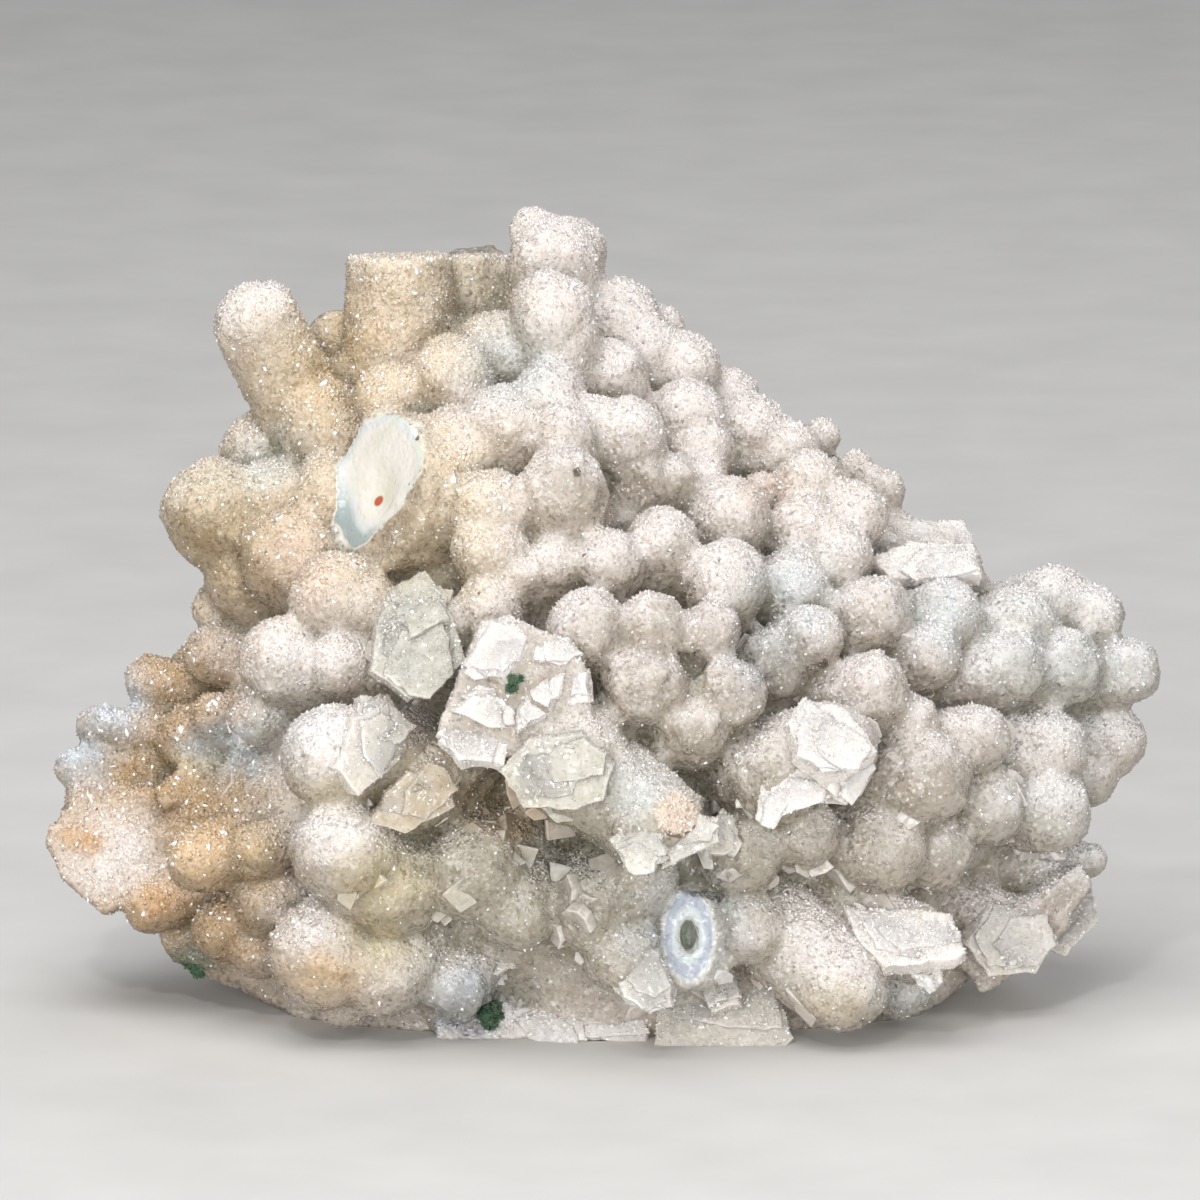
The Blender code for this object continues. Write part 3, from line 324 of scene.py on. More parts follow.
# Colour over the face, in the order that the patches lie on each other.
STAINS = [
    # The patch at (-1, 15) lays the painted shade of the depths low on the middle.
    Stain(-2, 18, 34, 14, "glassy_grey", 0.75), Stain(-1, 15, 8, 5, "painted_crevice_shade", 0.2),
    Stain(-24, 62, 17, 20, "warm_tan", 0.55), Stain(-33, 50, 9, 9, "warm_tan", 0.6),
    Stain(-20, 72, 8, 9, "warm_tan", 0.7), Stain(-13, 75, 5, 6, "dull_tan", 0.8),
    Stain(-27, 68, 5, 7, "ochre", 0.7), Stain(-34, 73, 5, 6, "pale_sugar", 0.5),
    Stain(-30, 61, 5, 6, "warm_tan", 0.6), Stain(-36, 52, 9, 8, "ochre", 0.55),
    Stain(-38, 50, 6, 4.5, "olive", 0.95), Stain(-38, 55.8, 5, 2.4, "dull_tan", 0.7),
    Stain(-33, 59, 4, 4, "blue_grey", 0.6), Stain(-31, 48, 5, 5, "rose_tan", 0.6),
    Stain(-35, 46, 4, 4, "olive", 0.6), Stain(-16, 54, 6, 9, "honey", 0.7),
    Stain(-17, 47, 7, 3, "honey", 0.6), Stain(-46, 26, 13, 17, "earth", 0.95),
    Stain(-36, 14, 9, 10, "earth", 0.55), Stain(-48, 19.5, 6, 5, "pale_sugar", 0.75),
    Stain(-51.5, 20.5, 2.2, 1.8, "rust", 0.9), Stain(-44.5, 14, 3.0, 2.0, "rust", 0.8),
    Stain(-40, 19, 3.6, 3.4, "amber", 0.9), Stain(-34.5, 19, 2.6, 3, "ochre", 0.7),
    Stain(-38, 11, 4, 3, "earth", 0.8), Stain(-41, 35, 7, 6, "earth", 0.5),
    Stain(-40, 25, 5, 5, "earth", 0.6), Stain(-52, 29, 3.2, 3.2, "blue_white", 0.95),
    Stain(-48.5, 34, 3.6, 3.4, "blue_white", 0.85), Stain(-37.5, 29.5, 4.5, 2.8, "blue_white", 0.95),
    Stain(-40, 28, 3, 1.4, "yellow", 0.5), Stain(-31, 33, 4, 5, "blue_grey", 0.5),
    Stain(-30, 38, 6, 5, "pale_sugar", 0.6), Stain(-26, 29, 5, 5, "pale_sugar", 0.9),
    Stain(-33, 67, 6, 6, "ochre", 0.4), Stain(-26.5, 25, 4, 2.4, "yellow", 0.5),
    Stain(-25.5, 20.5, 5, 4, "pale_sugar", 0.8), Stain(-20.5, 17, 5.5, 3.6, "yellow", 0.75),
    Stain(-28, 12, 4, 4, "pale_sugar", 0.7), Stain(-22, 11, 3.4, 4, "yellow", 0.6),
    Stain(-27, 7.4, 4, 2.8, "amber", 0.8), Stain(-16, 26, 6, 6, "dull_tan", 0.75),
    Stain(-12, 19, 7, 5, "glassy_grey", 0.6), Stain(-8, 24, 5, 3.4, "earth", 0.7),
    Stain(-17, 40, 5, 5, "glassy_grey", 0.6), Stain(-12.5, 4.6, 5, 3.2, "blue_white", 0.9),
    Stain(-13.2, 3.4, 2.8, 2.6, "agate_blue", 0.7), Stain(-4, 2.5, 8, 2.2, "pale_sugar", 0.6),
    Stain(9, 11.5, 5, 6, "blue_white", 0.9), Stain(1, 23.5, 5, 6, "glassy_grey", 0.4),
    Stain(3, 26, 4, 2.6, "blue_grey", 0.5), Stain(30, 4.5, 4, 2.6, "blue_grey", 0.7),
    Stain(31, 11, 6, 3, "pale_sugar", 0.6), Stain(23, 5, 4.5, 2.4, "yellow", 0.35),
    Stain(21, 10, 8, 4, "pale_sugar", 0.5), Stain(45, 12, 8, 7, "rose_grey", 0.6),
    Stain(48, 39, 12, 8, "blue_grey", 0.65), Stain(50, 43, 6, 3, "pale_sugar", 0.5),
    Stain(34, 43, 4.5, 4, "blue_grey", 0.7), Stain(19, 45.5, 5, 4, "blue_grey", 0.7),
    Stain(17, 38.5, 4, 4, "slate", 0.6), Stain(45, 22, 9, 7, "blue_grey", 0.4),
    Stain(1, 60, 4, 4, "pale_sugar", 0.4), Stain(-9, 66.5, 5, 4, "blue_grey", 0.45),
    Stain(-7.8, 69, 4, 4, "blue_grey", 0.4), Stain(-13, 63, 3, 3, "rose_grey", 0.5),
    Stain(22, 57, 9, 5, "dull_tan", 0.2), Stain(16.5, 55, 3, 2.4, "rose_tan", 0.6),
    Stain(-3, 27, 3, 2, "rose_tan", 0.5), Stain(-1, 53, 3, 2, "dull_tan", 0.3),
    Stain(-41, 8, 3, 1.6, "moss", 0.9),
]

# Where the knobs are glassy, with few grains on them. The zones at (-1, 56) and (4.5, 55.5) are painted
# shade: they darken the shaded lower sides of the knobs there.
GLASSY_AND_SHADED = [
    Zone(9, 31.6, 4, 4, 0.9), Zone(12, 34, 3, 3, 0.6), Zone(17.5, 26, 5.5, 5, 0.8),
    Zone(-16, 26, 6, 6, 0.8), Zone(-12, 17.5, 6.5, 6, 0.85), Zone(-1, 13.5, 7, 6, 0.85),
    Zone(14, 18, 6, 6, 0.8), Zone(24, 20, 6, 5, 0.7), Zone(33, 18.5, 6, 5, 0.7), Zone(-20, 14, 4, 4, 0.6),
    Zone(-3, 26.5, 5, 4, 0.6), Zone(3, 20.5, 3.4, 3, 0.8), Zone(17, 38, 4, 4, 0.7), Zone(30, 10, 5, 4, 0.5),
    Zone(-26, 8, 5, 4, 0.4), Zone(-17.7, 39, 4.5, 4.5, 0.7), Zone(-8.3, 35.5, 7, 6.5, 0.95),
    Zone(-21.5, 54.5, 4.6, 7.6, 1.0), Zone(9, 11.3, 4.6, 5.6, 1.0), Zone(-12.5, 3.5, 6, 4, 0.8),
    Zone(48, 39, 10, 6, 0.45), Zone(8, 3, 12, 3, 0.6), Zone(45, 12, 7, 6, 0.5), Zone(5, 40, 8, 6, 1.0),
    Zone(-25, 17, 5, 4, 0.5), Zone(28, 44, 5, 4, 0.45), Zone(-1, 56, 5, 5, 0.9), Zone(4.5, 55.5, 5, 3, 1.0),
    Zone(-51, 30, 4, 4, 0.8), Zone(-37.5, 29.5, 4, 2.6, 0.8), Zone(-26, 61, 4, 6, 0.2),
    Zone(-3, 27, 5, 5, 0.9), Zone(33, 26, 8, 6, 0.9), Zone(10, 35, 5, 5, 0.95), Zone(28, 38, 5, 4, 0.5),
    Zone(-3, 52, 3, 3, 0.3), Zone(38, 20, 8, 5, 0.6),
]

# Where the druse is coarse, as it is in the iron-stained hollow and on the tan columns.
COARSE = [
    Zone(-44, 28, 11, 13, 1.0), Zone(-37, 14, 8, 8, 0.8), Zone(-24, 66, 14, 16, 0.45),
    Zone(-15, 56, 5, 8, 0.4),
]

AGATE_COLUMN = BROKEN_COLUMNS[2]
EYE_COLUMN = BROKEN_COLUMNS[3]
PALE_PATCH = Knob(7.5, 23.4, 2.1, 0.0)
RED_SPOT = Knob(-21.9, 54.1, 0.75, 0.0)
RED_SPOT_SIZE = (0.62, 0.4)
RED_SPOT_TURN = math.radians(55)
DARK_SPECKS = [
    Knob(-2.2, 56.8, 0.55, 0.0), Knob(-18.0, 60.3, 0.3, 0.0), Knob(22.0, 38.0, 0.55, 0.0),
    Knob(25.9, 6.3, 0.35, 0.0), Knob(18.5, 31.2, 0.22, 0.0), Knob(24.0, 74.0, 0.2, 0.0),
    Knob(-1.5, 48.8, 0.3, 0.0), Knob(6.4, 21.7, 0.3, 0.0), Knob(7.0, 21.45, 0.32, 0.0),
    Knob(7.7, 21.35, 0.32, 0.0), Knob(8.4, 21.45, 0.3, 0.0), Knob(8.9, 21.75, 0.28, 0.0),
    Knob(9.2, 22.2, 0.25, 0.0),
]

# Where small flat crystals sit on the lower knobs, and how thickly.
TABLET_ZONES = [
    Zone(-18, 28, 8, 8, 1.0), Zone(-20, 14, 7, 8, 0.6), Zone(-16, 40, 5, 5, 0.5), Zone(-10, 18, 9, 8, 1.0),
    Zone(0, 14, 10, 9, 0.9), Zone(-3, 26, 7, 5, 0.5), Zone(18, 24, 10, 8, 0.9), Zone(28, 16, 10, 8, 0.7),
    Zone(38, 12, 10, 8, 0.6), Zone(30, 34, 10, 8, 0.35), Zone(-47, 20, 6, 6, 0.5), Zone(10, 5, 16, 6, 0.8),
    Zone(-35, 30, 6, 6, 0.3), Zone(42, 28, 8, 6, 0.3), Zone(-10, 5, 8, 4, 0.6),
]

# White, angular pieces of the big break, round the celadonite core.
BREAK_SHARDS = [
    Plate([(-11.6, 42.2), (-13.8, 36.7), (-12.3, 36.2), (-9.4, 36.7), (-7.5, 38.6), (-6.5, 41.8),
           (-8.4, 42.6)], 0.3, (-0.25, 0.15), 2.0),
    Plate([(-7.0, 37.2), (-6.5, 34.7), (-5.0, 33.3), (-4.1, 34.7), (-4.1, 37.9)], 0.1, (0.3, -0.3), 2.0),
    Plate([(-8.2, 33.8), (-8.0, 31.6), (-5.3, 33.0), (-7.0, 35.2)], 0.7, (-0.1, -0.4), 1.6),
    Plate([(-12.3, 35.9), (-14.7, 33.8), (-10.4, 31.8), (-8.2, 31.6), (-8.4, 33.8), (-9.9, 35.7)], 0.4,
           (-0.3, 0.2), 2.0),
    Plate([(-6.3, 41.5), (-6.3, 38.6), (-3.8, 37.9), (-1.6, 38.1), (-2.6, 40.3)], 0.1, (-0.35, -0.25), 2.0),
    Plate([(-15.9, 31.3), (-13.3, 28.4), (-11.1, 28.7), (-8.9, 28.2), (-8.4, 31.8), (-14.0, 34.7)], 0.3,
           (-0.15, -0.4), 2.4),
    Plate([(-4.2, 37.4), (-3.6, 33.4), (-0.9, 34.0), (-1.5, 37.8)], 0.0, (0.35, 0.0), 2.0),
]

# Pale layered crystals along the foot, and the wall that they lie on.
FOOT_WALL = WALLS[2]
FOOT_RIM = [
    Plate([(-7.5, 0.6), (-8.8, 3.6), (-5.0, 4.4), (-1.5, 2.6), (-1.0, 0.4)], 0.5, (0.1, -0.1), 1.8),
    Plate([(-2.4, 0.4), (-1.8, 3.0), (2.2, 6.0), (4.6, 3.4), (5.4, 0.4)], 0.6, (0.0, -0.2), 1.8),
    Plate([(-1.0, 2.8), (1.5, 6.8), (3.2, 5.6), (2.0, 2.6)], 1.1, (0.2, 0.1), 1.4),
]

WHITE_CLUSTERS = ("stilbite_wedge", "stilbite_sheaf", "stilbite_tip_blades", "break_shards", "foot_rim")

# Fringes of flat crystals that stand out round a knob, behind its tip: the knob's place, the arc in degrees
# anticlockwise from the right, how far along the knob they reach, how many there are and their size.
SKIRTS = [
    Skirt(-26.2, 28.8, -115, 70, 1.7, 34, 2.6), Skirt(-31.2, 38.3, -100, 40, 1.6, 22, 2.2),
    Skirt(-17.7, 40.1, -180, 180, 1.4, 34, 2.8), Skirt(-27.0, 9.3, -80, 60, 1.4, 18, 2.0),
    Skirt(-25.2, 19.5, -100, 30, 1.4, 20, 2.2), Skirt(-17.0, 26.3, -180, 180, 1.8, 34, 2.6),
    Skirt(-12.0, 17.8, -180, 180, 1.8, 36, 2.8), Skirt(-1.0, 14.3, -180, 180, 1.8, 36, 2.8),
    Skirt(5.0, 22.3, -170, -50, 1.6, 22, 2.8), Skirt(-3.0, 26.3, -160, -20, 1.6, 26, 3.2),
    Skirt(20.0, 30.3, -110, 80, 1.7, 34, 2.8), Skirt(28.0, 19.8, -150, 60, 1.7, 28, 2.6),
    Skirt(14.0, 25.3, -180, 0, 1.7, 26, 2.6), Skirt(30.5, 9.3, -150, 60, 1.4, 22, 2.4),
    Skirt(17.0, 38.3, -180, 180, 1.6, 22, 2.2), Skirt(10.0, 10.8, -180, 20, 1.5, 26, 2.6),
    Skirt(23.0, 6.8, 40, 210, 1.4, 16, 2.0), Skirt(36.0, 14.0, -150, 40, 1.6, 24, 2.4),
    Skirt(12.0, 18.0, -180, 180, 1.6, 28, 2.6), Skirt(-20.0, 14.0, -60, 90, 1.4, 18, 2.2),
    Skirt(34.0, 31.0, -160, 20, 1.4, 16, 1.8), Skirt(45.0, 22.0, -140, 30, 1.4, 16, 2.0),
    Skirt(22.0, 20.0, -170, 10, 1.6, 22, 2.4), Skirt(38.0, 22.0, -150, 0, 1.4, 16, 2.0),
]

# The stage, in metres: the floor's near edge and half width, the wall's place and height, and the bend.
FLOOR_NEAR = -2.4
FLOOR_SIDE = 2.4
FLOOR_FAR = 2.8
WALL_HEIGHT = 0.8
BEND = 0.5
BEND_STEPS = 12
LIGHTS_AIM = Vector((0, 0, 0.04))
ROOM_COLOUR = (0.9, 0.94, 1.0, 1.0)
ROOM_STRENGTH = 0.22
CAMERA_AWAY = 1.2
# The camera aims at this height up the face, and its lens and sensor are given too, all in millimetres.
CAMERA_AIM_UP = 44.3
LENS = 360.0
SENSOR = 36.0

# Each light of the studio: its name, place, width and height in metres, and power in watts.
STUDIO_LIGHTS = [
    ("overhead", (-0.12, -0.2, 0.75), (0.7, 0.6), 3.9),
    ("front_left", (-0.45, -0.85, 0.25), (0.6, 0.5), 3.7),
    ("front_low", (0.1, -0.9, 0.11), (0.8, 0.18), 4.6), ("right", (0.7, -0.4, 0.35), (0.4, 0.5), 1.3),
    ("rear", (0.2, 0.45, 0.6), (0.6, 0.3), 0.9), ("sparkle", (-0.15, -0.6, 0.55), (0.05, 0.05), 0.9),
]


def outline_reach(angle):
    """The distance from the middle of the mound to its outline, in each of an array of directions."""
    corners = np.array(OUTLINE, float) - MOUND_MIDDLE
    starts = np.roll(corners, 1, axis=0)
    sides = corners - starts
    direction = np.stack((np.cos(angle), np.sin(angle)), -1)[:, None, :]
    turn = direction[..., 0] * sides[:, 1] - direction[..., 1] * sides[:, 0]
    turn = np.where(np.abs(turn) < 1e-9, 1e-9, turn)
    reach = (starts[:, 0] * sides[:, 1] - starts[:, 1] * sides[:, 0]) / turn
    share = (starts[:, 0] * direction[..., 1] - starts[:, 1] * direction[..., 0]) / turn
    return np.where((reach > 0) & (share >= 0) & (share <= 1), reach, 0.0).max(axis=1)


def face_depth(across, up):
    """How far out the smooth face stands, at arrays of places on it."""
    across, up = np.atleast_1d(across).astype(float), np.atleast_1d(up).astype(float)
    over, rise = across - MOUND_MIDDLE[0], up - MOUND_MIDDLE[1]
    angle = np.arctan2(rise, over)
    share = np.minimum(1.0, np.hypot(over, rise) / outline_reach(angle))
    foot = np.maximum(0.0, -np.sin(angle))
    crown = np.maximum(0.0, np.sin(angle))
    edge = EDGE_SIDE + (EDGE_FOOT - EDGE_SIDE) * foot**1.5 + (EDGE_CROWN - EDGE_SIDE) * crown**2
    return edge + (FACE_HEIGHT - edge) * (1 - share**FACE_ROUNDNESS)


def hollow_depth(across, up):
    """How much the hollows lower the face."""
    depth = np.zeros_like(across, float)
    for hollow in HOLLOWS:
        away = np.hypot(across - hollow.across, up - hollow.up) / hollow.radius
        depth += hollow.depth * np.exp(-away * away)
    return depth


def back_depth(across, up, share):
    """How far back the rear lies at one place: deep at the foot, thin at the crown, in tilted facets."""
    height = min(1.0, max(0.0, up / CROWN_HEIGHT))
    full = BACK_DEPTH_FOOT + (BACK_DEPTH_CROWN - BACK_DEPTH_FOOT) * height
    foot = min(1.0, max(0.0, 1 - up / FOOT_HEIGHT))
    rim = BACK_EDGE + (full - BACK_EDGE) * foot
    place = Vector((across / FACET_SIZE, up / FACET_SIZE, 0.5))
    nearest = noise.voronoi(place)[1][0]
    tilt = noise.cell_vector(nearest * 7.3)
    lean = (tilt.x - 0.5) * (place.x - nearest.x) + (tilt.y - 0.5) * (place.y - nearest.y)
    facet = FACET_TILT * FACET_SIZE * lean
    step = FACET_STEP * (tilt.z - 0.5)
    rough = BACK_ROUGHNESS * noise.noise(place * 4.0)
    return rim + (full - rim) * (1 - share**4) + (facet + step + rough) * (1 - share**6)


def face_to_world(points):
    """From the face frame, in millimetres, to the world, in metres."""
    across, up, out = np.asarray(points, float).T
    back = up * math.sin(FACE_LEAN) - out * math.cos(FACE_LEAN) - BASE_BACK
    height = up * math.cos(FACE_LEAN) + out * math.sin(FACE_LEAN) - CUT_HEIGHT
    return np.stack((across - BASE_ACROSS, back, height), axis=1) * MM


def world_to_face(points):
    """From the world, in metres, to the face frame, in millimetres."""
    x, y, z = (np.asarray(points, float) / MM).T
    y, z = y + BASE_BACK, z + CUT_HEIGHT
    up = y * math.sin(FACE_LEAN) + z * math.cos(FACE_LEAN)
    out = z * math.sin(FACE_LEAN) - y * math.cos(FACE_LEAN)
    return np.stack((x + BASE_ACROSS, up, out), axis=1)


# The face frame's across, up and out directions, as rows, in the world.
FACE_AXES = (face_to_world(np.eye(3)) - face_to_world(np.zeros((3, 3)))) / MM


def noise_at(points, scale, seed):
    """Smooth noise from -1 to 1 at an array of points, with features 1 / scale across."""
    offset = Vector((seed * 3.7, seed * 1.9, seed * 5.3))
    return np.array([noise.noise(Vector(point) * scale + offset) for point in points.tolist()])


def smooth_step(value, low, high):
    """0 below low and 1 above high, with an even curve between."""
    share = np.clip((value - low) / (high - low), 0, 1)
    return share * share * (3 - 2 * share)


class Form:
    """Closed surfaces gathered for one object, as points in the face frame and faces on them."""

    def __init__(self):
        self.points = []
        self.faces = []
        self.count = 0

    def add(self, points, faces):
        self.points.append(np.asarray(points, float))
        self.faces += [[self.count + index for index in face] for face in faces]
        self.count += len(points)

    def mesh(self, name):
        made = bpy.data.meshes.new(name)
        made.from_pydata(face_to_world(np.concatenate(self.points)), [], self.faces)
        return made


def unit_ball(segments, rings):
    """The points and faces of a round ball of radius 1 with its poles on Z."""
    ball = bmesh.new()
    bmesh.ops.create_uvsphere(ball, u_segments=segments, v_segments=rings, radius=1.0)
    points = [vert.co.copy() for vert in ball.verts]
    faces = [[vert.index for vert in face.verts] for face in ball.faces]
    ball.free()
    return points, faces


def tip_of(knob):
    """The middle of a knob's round end, in the face frame."""
    out = face_depth(knob.across, knob.up)[0] + knob.proud - TIP_SINK * knob.radius
    return Vector((knob.across, knob.up, out))


def root_of(knob, tip):
    """Where a knob grows from: towards the middle of the mound, unless its own root is given."""
    if knob.root is None:
        return tip - (tip - GROWTH_CENTRE).normalized() * ROOT_LENGTH
    return tip + Vector(knob.root)


TIPS = {knob: tip_of(knob) for knob in KNOBS + BROKEN_COLUMNS}


def knob_surface_depth(across, up):
    """How far out the knobs stand, at arrays of places on the face."""
    across, up = np.atleast_1d(across).astype(float), np.atleast_1d(up).astype(float)
    depth = face_depth(across, up) - MOUND_UNDER_KNOBS - hollow_depth(across, up)
    for knob, tip in TIPS.items():
        room = knob.radius**2 - (across - tip.x) ** 2 - (up - tip.y) ** 2
        depth = np.where(room > 0, np.maximum(depth, tip.z + np.sqrt(np.maximum(room, 0))), depth)
    return depth


def broken_flat(point):
    """Draws the upper half of the ball onto a flat disc, so that the column ends in a break."""
    reach = math.hypot(point.x, point.y)
    if point.z < 0.05:
        return point
    if reach < 1e-6:
        return Vector((0.0, 0.0, 0.05))
    spread = min(1.0, reach / 0.85) / reach
    return Vector((point.x * spread, point.y * spread, 0.05))


def add_knob(form, knob, ball, broken=False):
    """A stalactite from its root to its round tip, or to a flat break."""
    tip = TIPS[knob]
    root = root_of(knob, tip)
    turn = (tip - root).to_track_quat("Z", "Y").to_matrix()
    points = []
    for vert in ball[0]:
        shape = broken_flat(vert) if broken else vert
        lumps = 1 + KNOB_LUMPINESS * noise.noise(vert * 1.3 + tip * 0.37)
        if vert.z > -0.05:
            points.append(tip + turn @ (shape * knob.radius * lumps))
        else:
            points.append(root + turn @ (vert * knob.radius * ROOT_SPREAD * lumps))
    form.add(points, ball[1])


def add_mound(form):
    """The mass behind the knobs: rings of the outline, drawn in over the front and over the back."""
    angles = 2 * math.pi * np.arange(MOUND_SEGMENTS) / MOUND_SEGMENTS
    reach = outline_reach(angles)
    middle = MOUND_MIDDLE
    points = [
        (*middle, face_depth(*middle)[0] - MOUND_UNDER_KNOBS),
        (*middle, -back_depth(*middle, 0.0)),
    ]
    for ring in range(1, MOUND_RINGS + 1):
        share = ring / MOUND_RINGS
        across = middle[0] + reach * share * np.cos(angles)
        up = middle[1] + reach * share * np.sin(angles)
        front = face_depth(across, up) - MOUND_UNDER_KNOBS - hollow_depth(across, up)
        for place, height, out in zip(across, up, front):
            points.append((place, height, out))
            points.append((place, height, -back_depth(place, height, share)))
    faces = []
    row = 2 * MOUND_SEGMENTS
    for step in range(MOUND_SEGMENTS):
        here = 2 + 2 * step
        following = 2 + 2 * ((step + 1) % MOUND_SEGMENTS)
        faces.append((0, here, following))
        faces.append((1, following + 1, here + 1))
        for ring in range(MOUND_RINGS - 1):
            inner = ring * row
            outer = inner + row
            faces.append((inner + here, outer + here, outer + following, inner + following))
            faces.append((inner + following + 1, outer + following + 1, outer + here + 1, inner + here + 1))
        rim = (MOUND_RINGS - 1) * row
        faces.append((rim + here, rim + here + 1, rim + following + 1, rim + following))
    form.add(points, faces)


def plate_frame(plate, ground=None):
    """The middle of a plate's face, its outward normal and its corners, in the face frame."""
    corners = np.array(plate.corners, float)
    middle = corners.mean(axis=0)
    ground = ground or knob_surface_depth
    out = np.ravel(ground(*middle))[0] + plate.proud
    normal = np.array((-plate.slope[0], -plate.slope[1], 1.0))
    return np.array((*middle, out)), normal / np.linalg.norm(normal), corners


def flat_depth(plate, ground=None):
    """A function that gives how far out the flat of a plate stands at each place."""
    middle, _, _ = plate_frame(plate, ground)

    def depth(across, up):
        return middle[2] + plate.slope[0] * (across - middle[0]) + plate.slope[1] * (up - middle[1])

    return depth


def prism_faces(count):
    """The faces of a prism whose front outline comes before its back outline."""
    faces = [tuple(range(count)), tuple(range(2 * count - 1, count - 1, -1))]
    for index in range(count):
        following = (index + 1) % count
        faces.append((index, index + count, following + count, following))
    return faces


def laid_on(offset, middle, slope):
    """An outline given from a plate's middle, laid on the sloping plane of its face."""
    return np.column_stack((middle[:2] + offset, middle[2] + offset @ np.array(slope)))


def add_plate(form, plate, ground=None):
    """A flat wall with a many-cornered face towards the viewer, narrowing to its back."""
    middle, normal, corners = plate_frame(plate, ground)
    offset = corners - middle[:2]
    front = laid_on(offset, middle, plate.slope)
    back = laid_on(offset * CRYSTAL_TAPER, middle, plate.slope) - normal * plate.thick
    form.add(np.concatenate((front, back)), prism_faces(len(corners)))


def weight_of(patches, across, up, warp):
    """How strongly each patch of a list covers each place, with ragged edges."""
    wander = (warp[:, 0] * 1.3, warp[:, 1] * 1.3)
    for patch in patches:
        away = ((across + wander[0] - patch.across) / patch.wide) ** 2
        away += ((up + wander[1] - patch.up) / patch.high) ** 2
        yield patch, patch.strength * np.exp(-(away**1.5))


def covered(patches, across, up, warp):
    """The most that any patch of a list covers each place."""
    total = np.zeros(len(across))
    for _, weight in weight_of(patches, across, up, warp):
        total = np.maximum(total, weight)
    return total


def warp_at(points):
    """How far the edges of the patches wander, across and up, at points of the face frame."""
    return np.stack((noise_at(points, 0.35, 1), noise_at(points, 0.35, 2)), axis=1)


def towards(tone, colour, share):
    """Colours moved a share of the way towards another colour."""
    return tone + share * (np.array(colour) - tone)


def tones_at(points, openness, druse_and_top_light, looks):
    """The stone's colour at points of the face: glassy, whiter with druse and painted top light, stained,
    with painted shade in crevices.
    """
    across, up, out = points.T
    warp = warp_at(points)
    mottle = noise_at(points, 0.9, 3)
    tone = np.tile(np.array(looks.sugar_white), (len(points), 1))
    for patch, weight in weight_of(STAINS, across, up, warp):
        share = np.clip(weight * (1 + 0.45 * mottle), 0, 1)[:, None]
        tone = towards(tone, getattr(looks, patch.finish), share)
    # Where the druse is thin the stone darkens towards its bare body: on lower sides and in crevices this is
    # painted shade.
    glassy = tone * np.array(looks.glassy_body_and_shade)
    tone = glassy + np.asarray(druse_and_top_light).reshape(-1, 1) * (tone - glassy)
    # Painted shade: points that lie below their surroundings are darkened towards the colour of the depths.
    painted_crevice_shade = smooth_step(-openness, 0.05, 1.1)[:, None]
    hue = tone / tone.max(axis=1, keepdims=True)
    tone = towards(tone, np.array(looks.painted_crevice_shade) * (0.6 + 0.4 * hue), 0.7 * painted_crevice_shade)
    rear = smooth_step(-out, REAR_START, REAR_FULL)[:, None]
    band = 0.5 + 0.5 * np.sin(0.9 * out + 2.5 * warp[:, 0] + 0.25 * up)
    shell = towards(np.array(looks.rear_stone), looks.rear_band, band[:, None])
    shell = towards(shell, looks.dull_earth, np.clip(noise_at(points, 0.12, 6) * 1.6, 0, 0.6)[:, None])
    shell = towards(shell, looks.moss, np.clip(noise_at(points, 0.3, 7) * 3 - 1.1, 0, 1)[:, None])
    return towards(tone, shell, rear)


def set_attribute(mesh, name, kind, values):
    """Stores one value for each point of a mesh."""
    attribute = mesh.attributes.new(name, kind, "POINT")
    if kind == "FLOAT_COLOR":
        colours = np.column_stack((values, np.ones(len(values))))
        attribute.data.foreach_set("color", colours.ravel().astype(np.float32))
    else:
        attribute.data.foreach_set("value", np.asarray(values, np.float32))


def points_of(mesh):
    """The places of a mesh's points, as an array."""
    points = np.empty(len(mesh.vertices) * 3, np.float32)
    mesh.vertices.foreach_get("co", points)
    return points.reshape(-1, 3).astype(float)


def move_points(mesh, points):
    """Puts a mesh's points at new places."""
    mesh.vertices.foreach_set("co", points.astype(np.float32).ravel())
    mesh.update()


def normals_of(mesh):
    """The smooth normals of a mesh's points, as an array."""
    normals = np.empty(len(mesh.vertices) * 3, np.float32)
    mesh.vertex_normals.foreach_get("vector", normals)
    return normals.reshape(-1, 3).astype(float)


def edges_of(mesh):
    """The two point numbers of each edge, as an array."""
    edges = np.empty(len(mesh.edges) * 2, np.int32)
    mesh.edges.foreach_get("vertices", edges)
    return edges.reshape(-1, 2)


def relaxed(points, edges, rounds):
    """Points moved towards the mean of their neighbours, a number of times."""
    count = len(points)
    one, other = edges.T
    number = np.bincount(one, minlength=count) + np.bincount(other, minlength=count)
    for _ in range(rounds):
        total = np.stack(
            [
                np.bincount(one, points[other, axis], count) + np.bincount(other, points[one, axis], count)
                for axis in range(points.shape[1])
            ],
            axis=1,
        )
        points = 0.5 * points + 0.5 * total / number[:, None]
    return points


def mesh_from_arrays(name, points, triangles):
    """A mesh of triangles from arrays."""
    made = bpy.data.meshes.new(name)
    made.vertices.add(len(points))
    made.vertices.foreach_set("co", np.asarray(points, np.float32).ravel())
    made.loops.add(triangles.size)
    made.loops.foreach_set("vertex_index", triangles.astype(np.int32).ravel())
    made.polygons.add(len(triangles))
    made.polygons.foreach_set("loop_start", np.arange(0, triangles.size, 3, dtype=np.int32))
    made.update(calc_edges=True)
    made.validate()
    return made


def piece_of(name, mesh, material):
    """Puts a mesh in the scene as a piece that rides on the specimen."""
    piece = bpy.data.objects.new(name, mesh)
    bpy.context.scene.collection.objects.link(piece)
    mesh.materials.clear()
    mesh.materials.append(material)
    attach(piece, "root")
    return piece


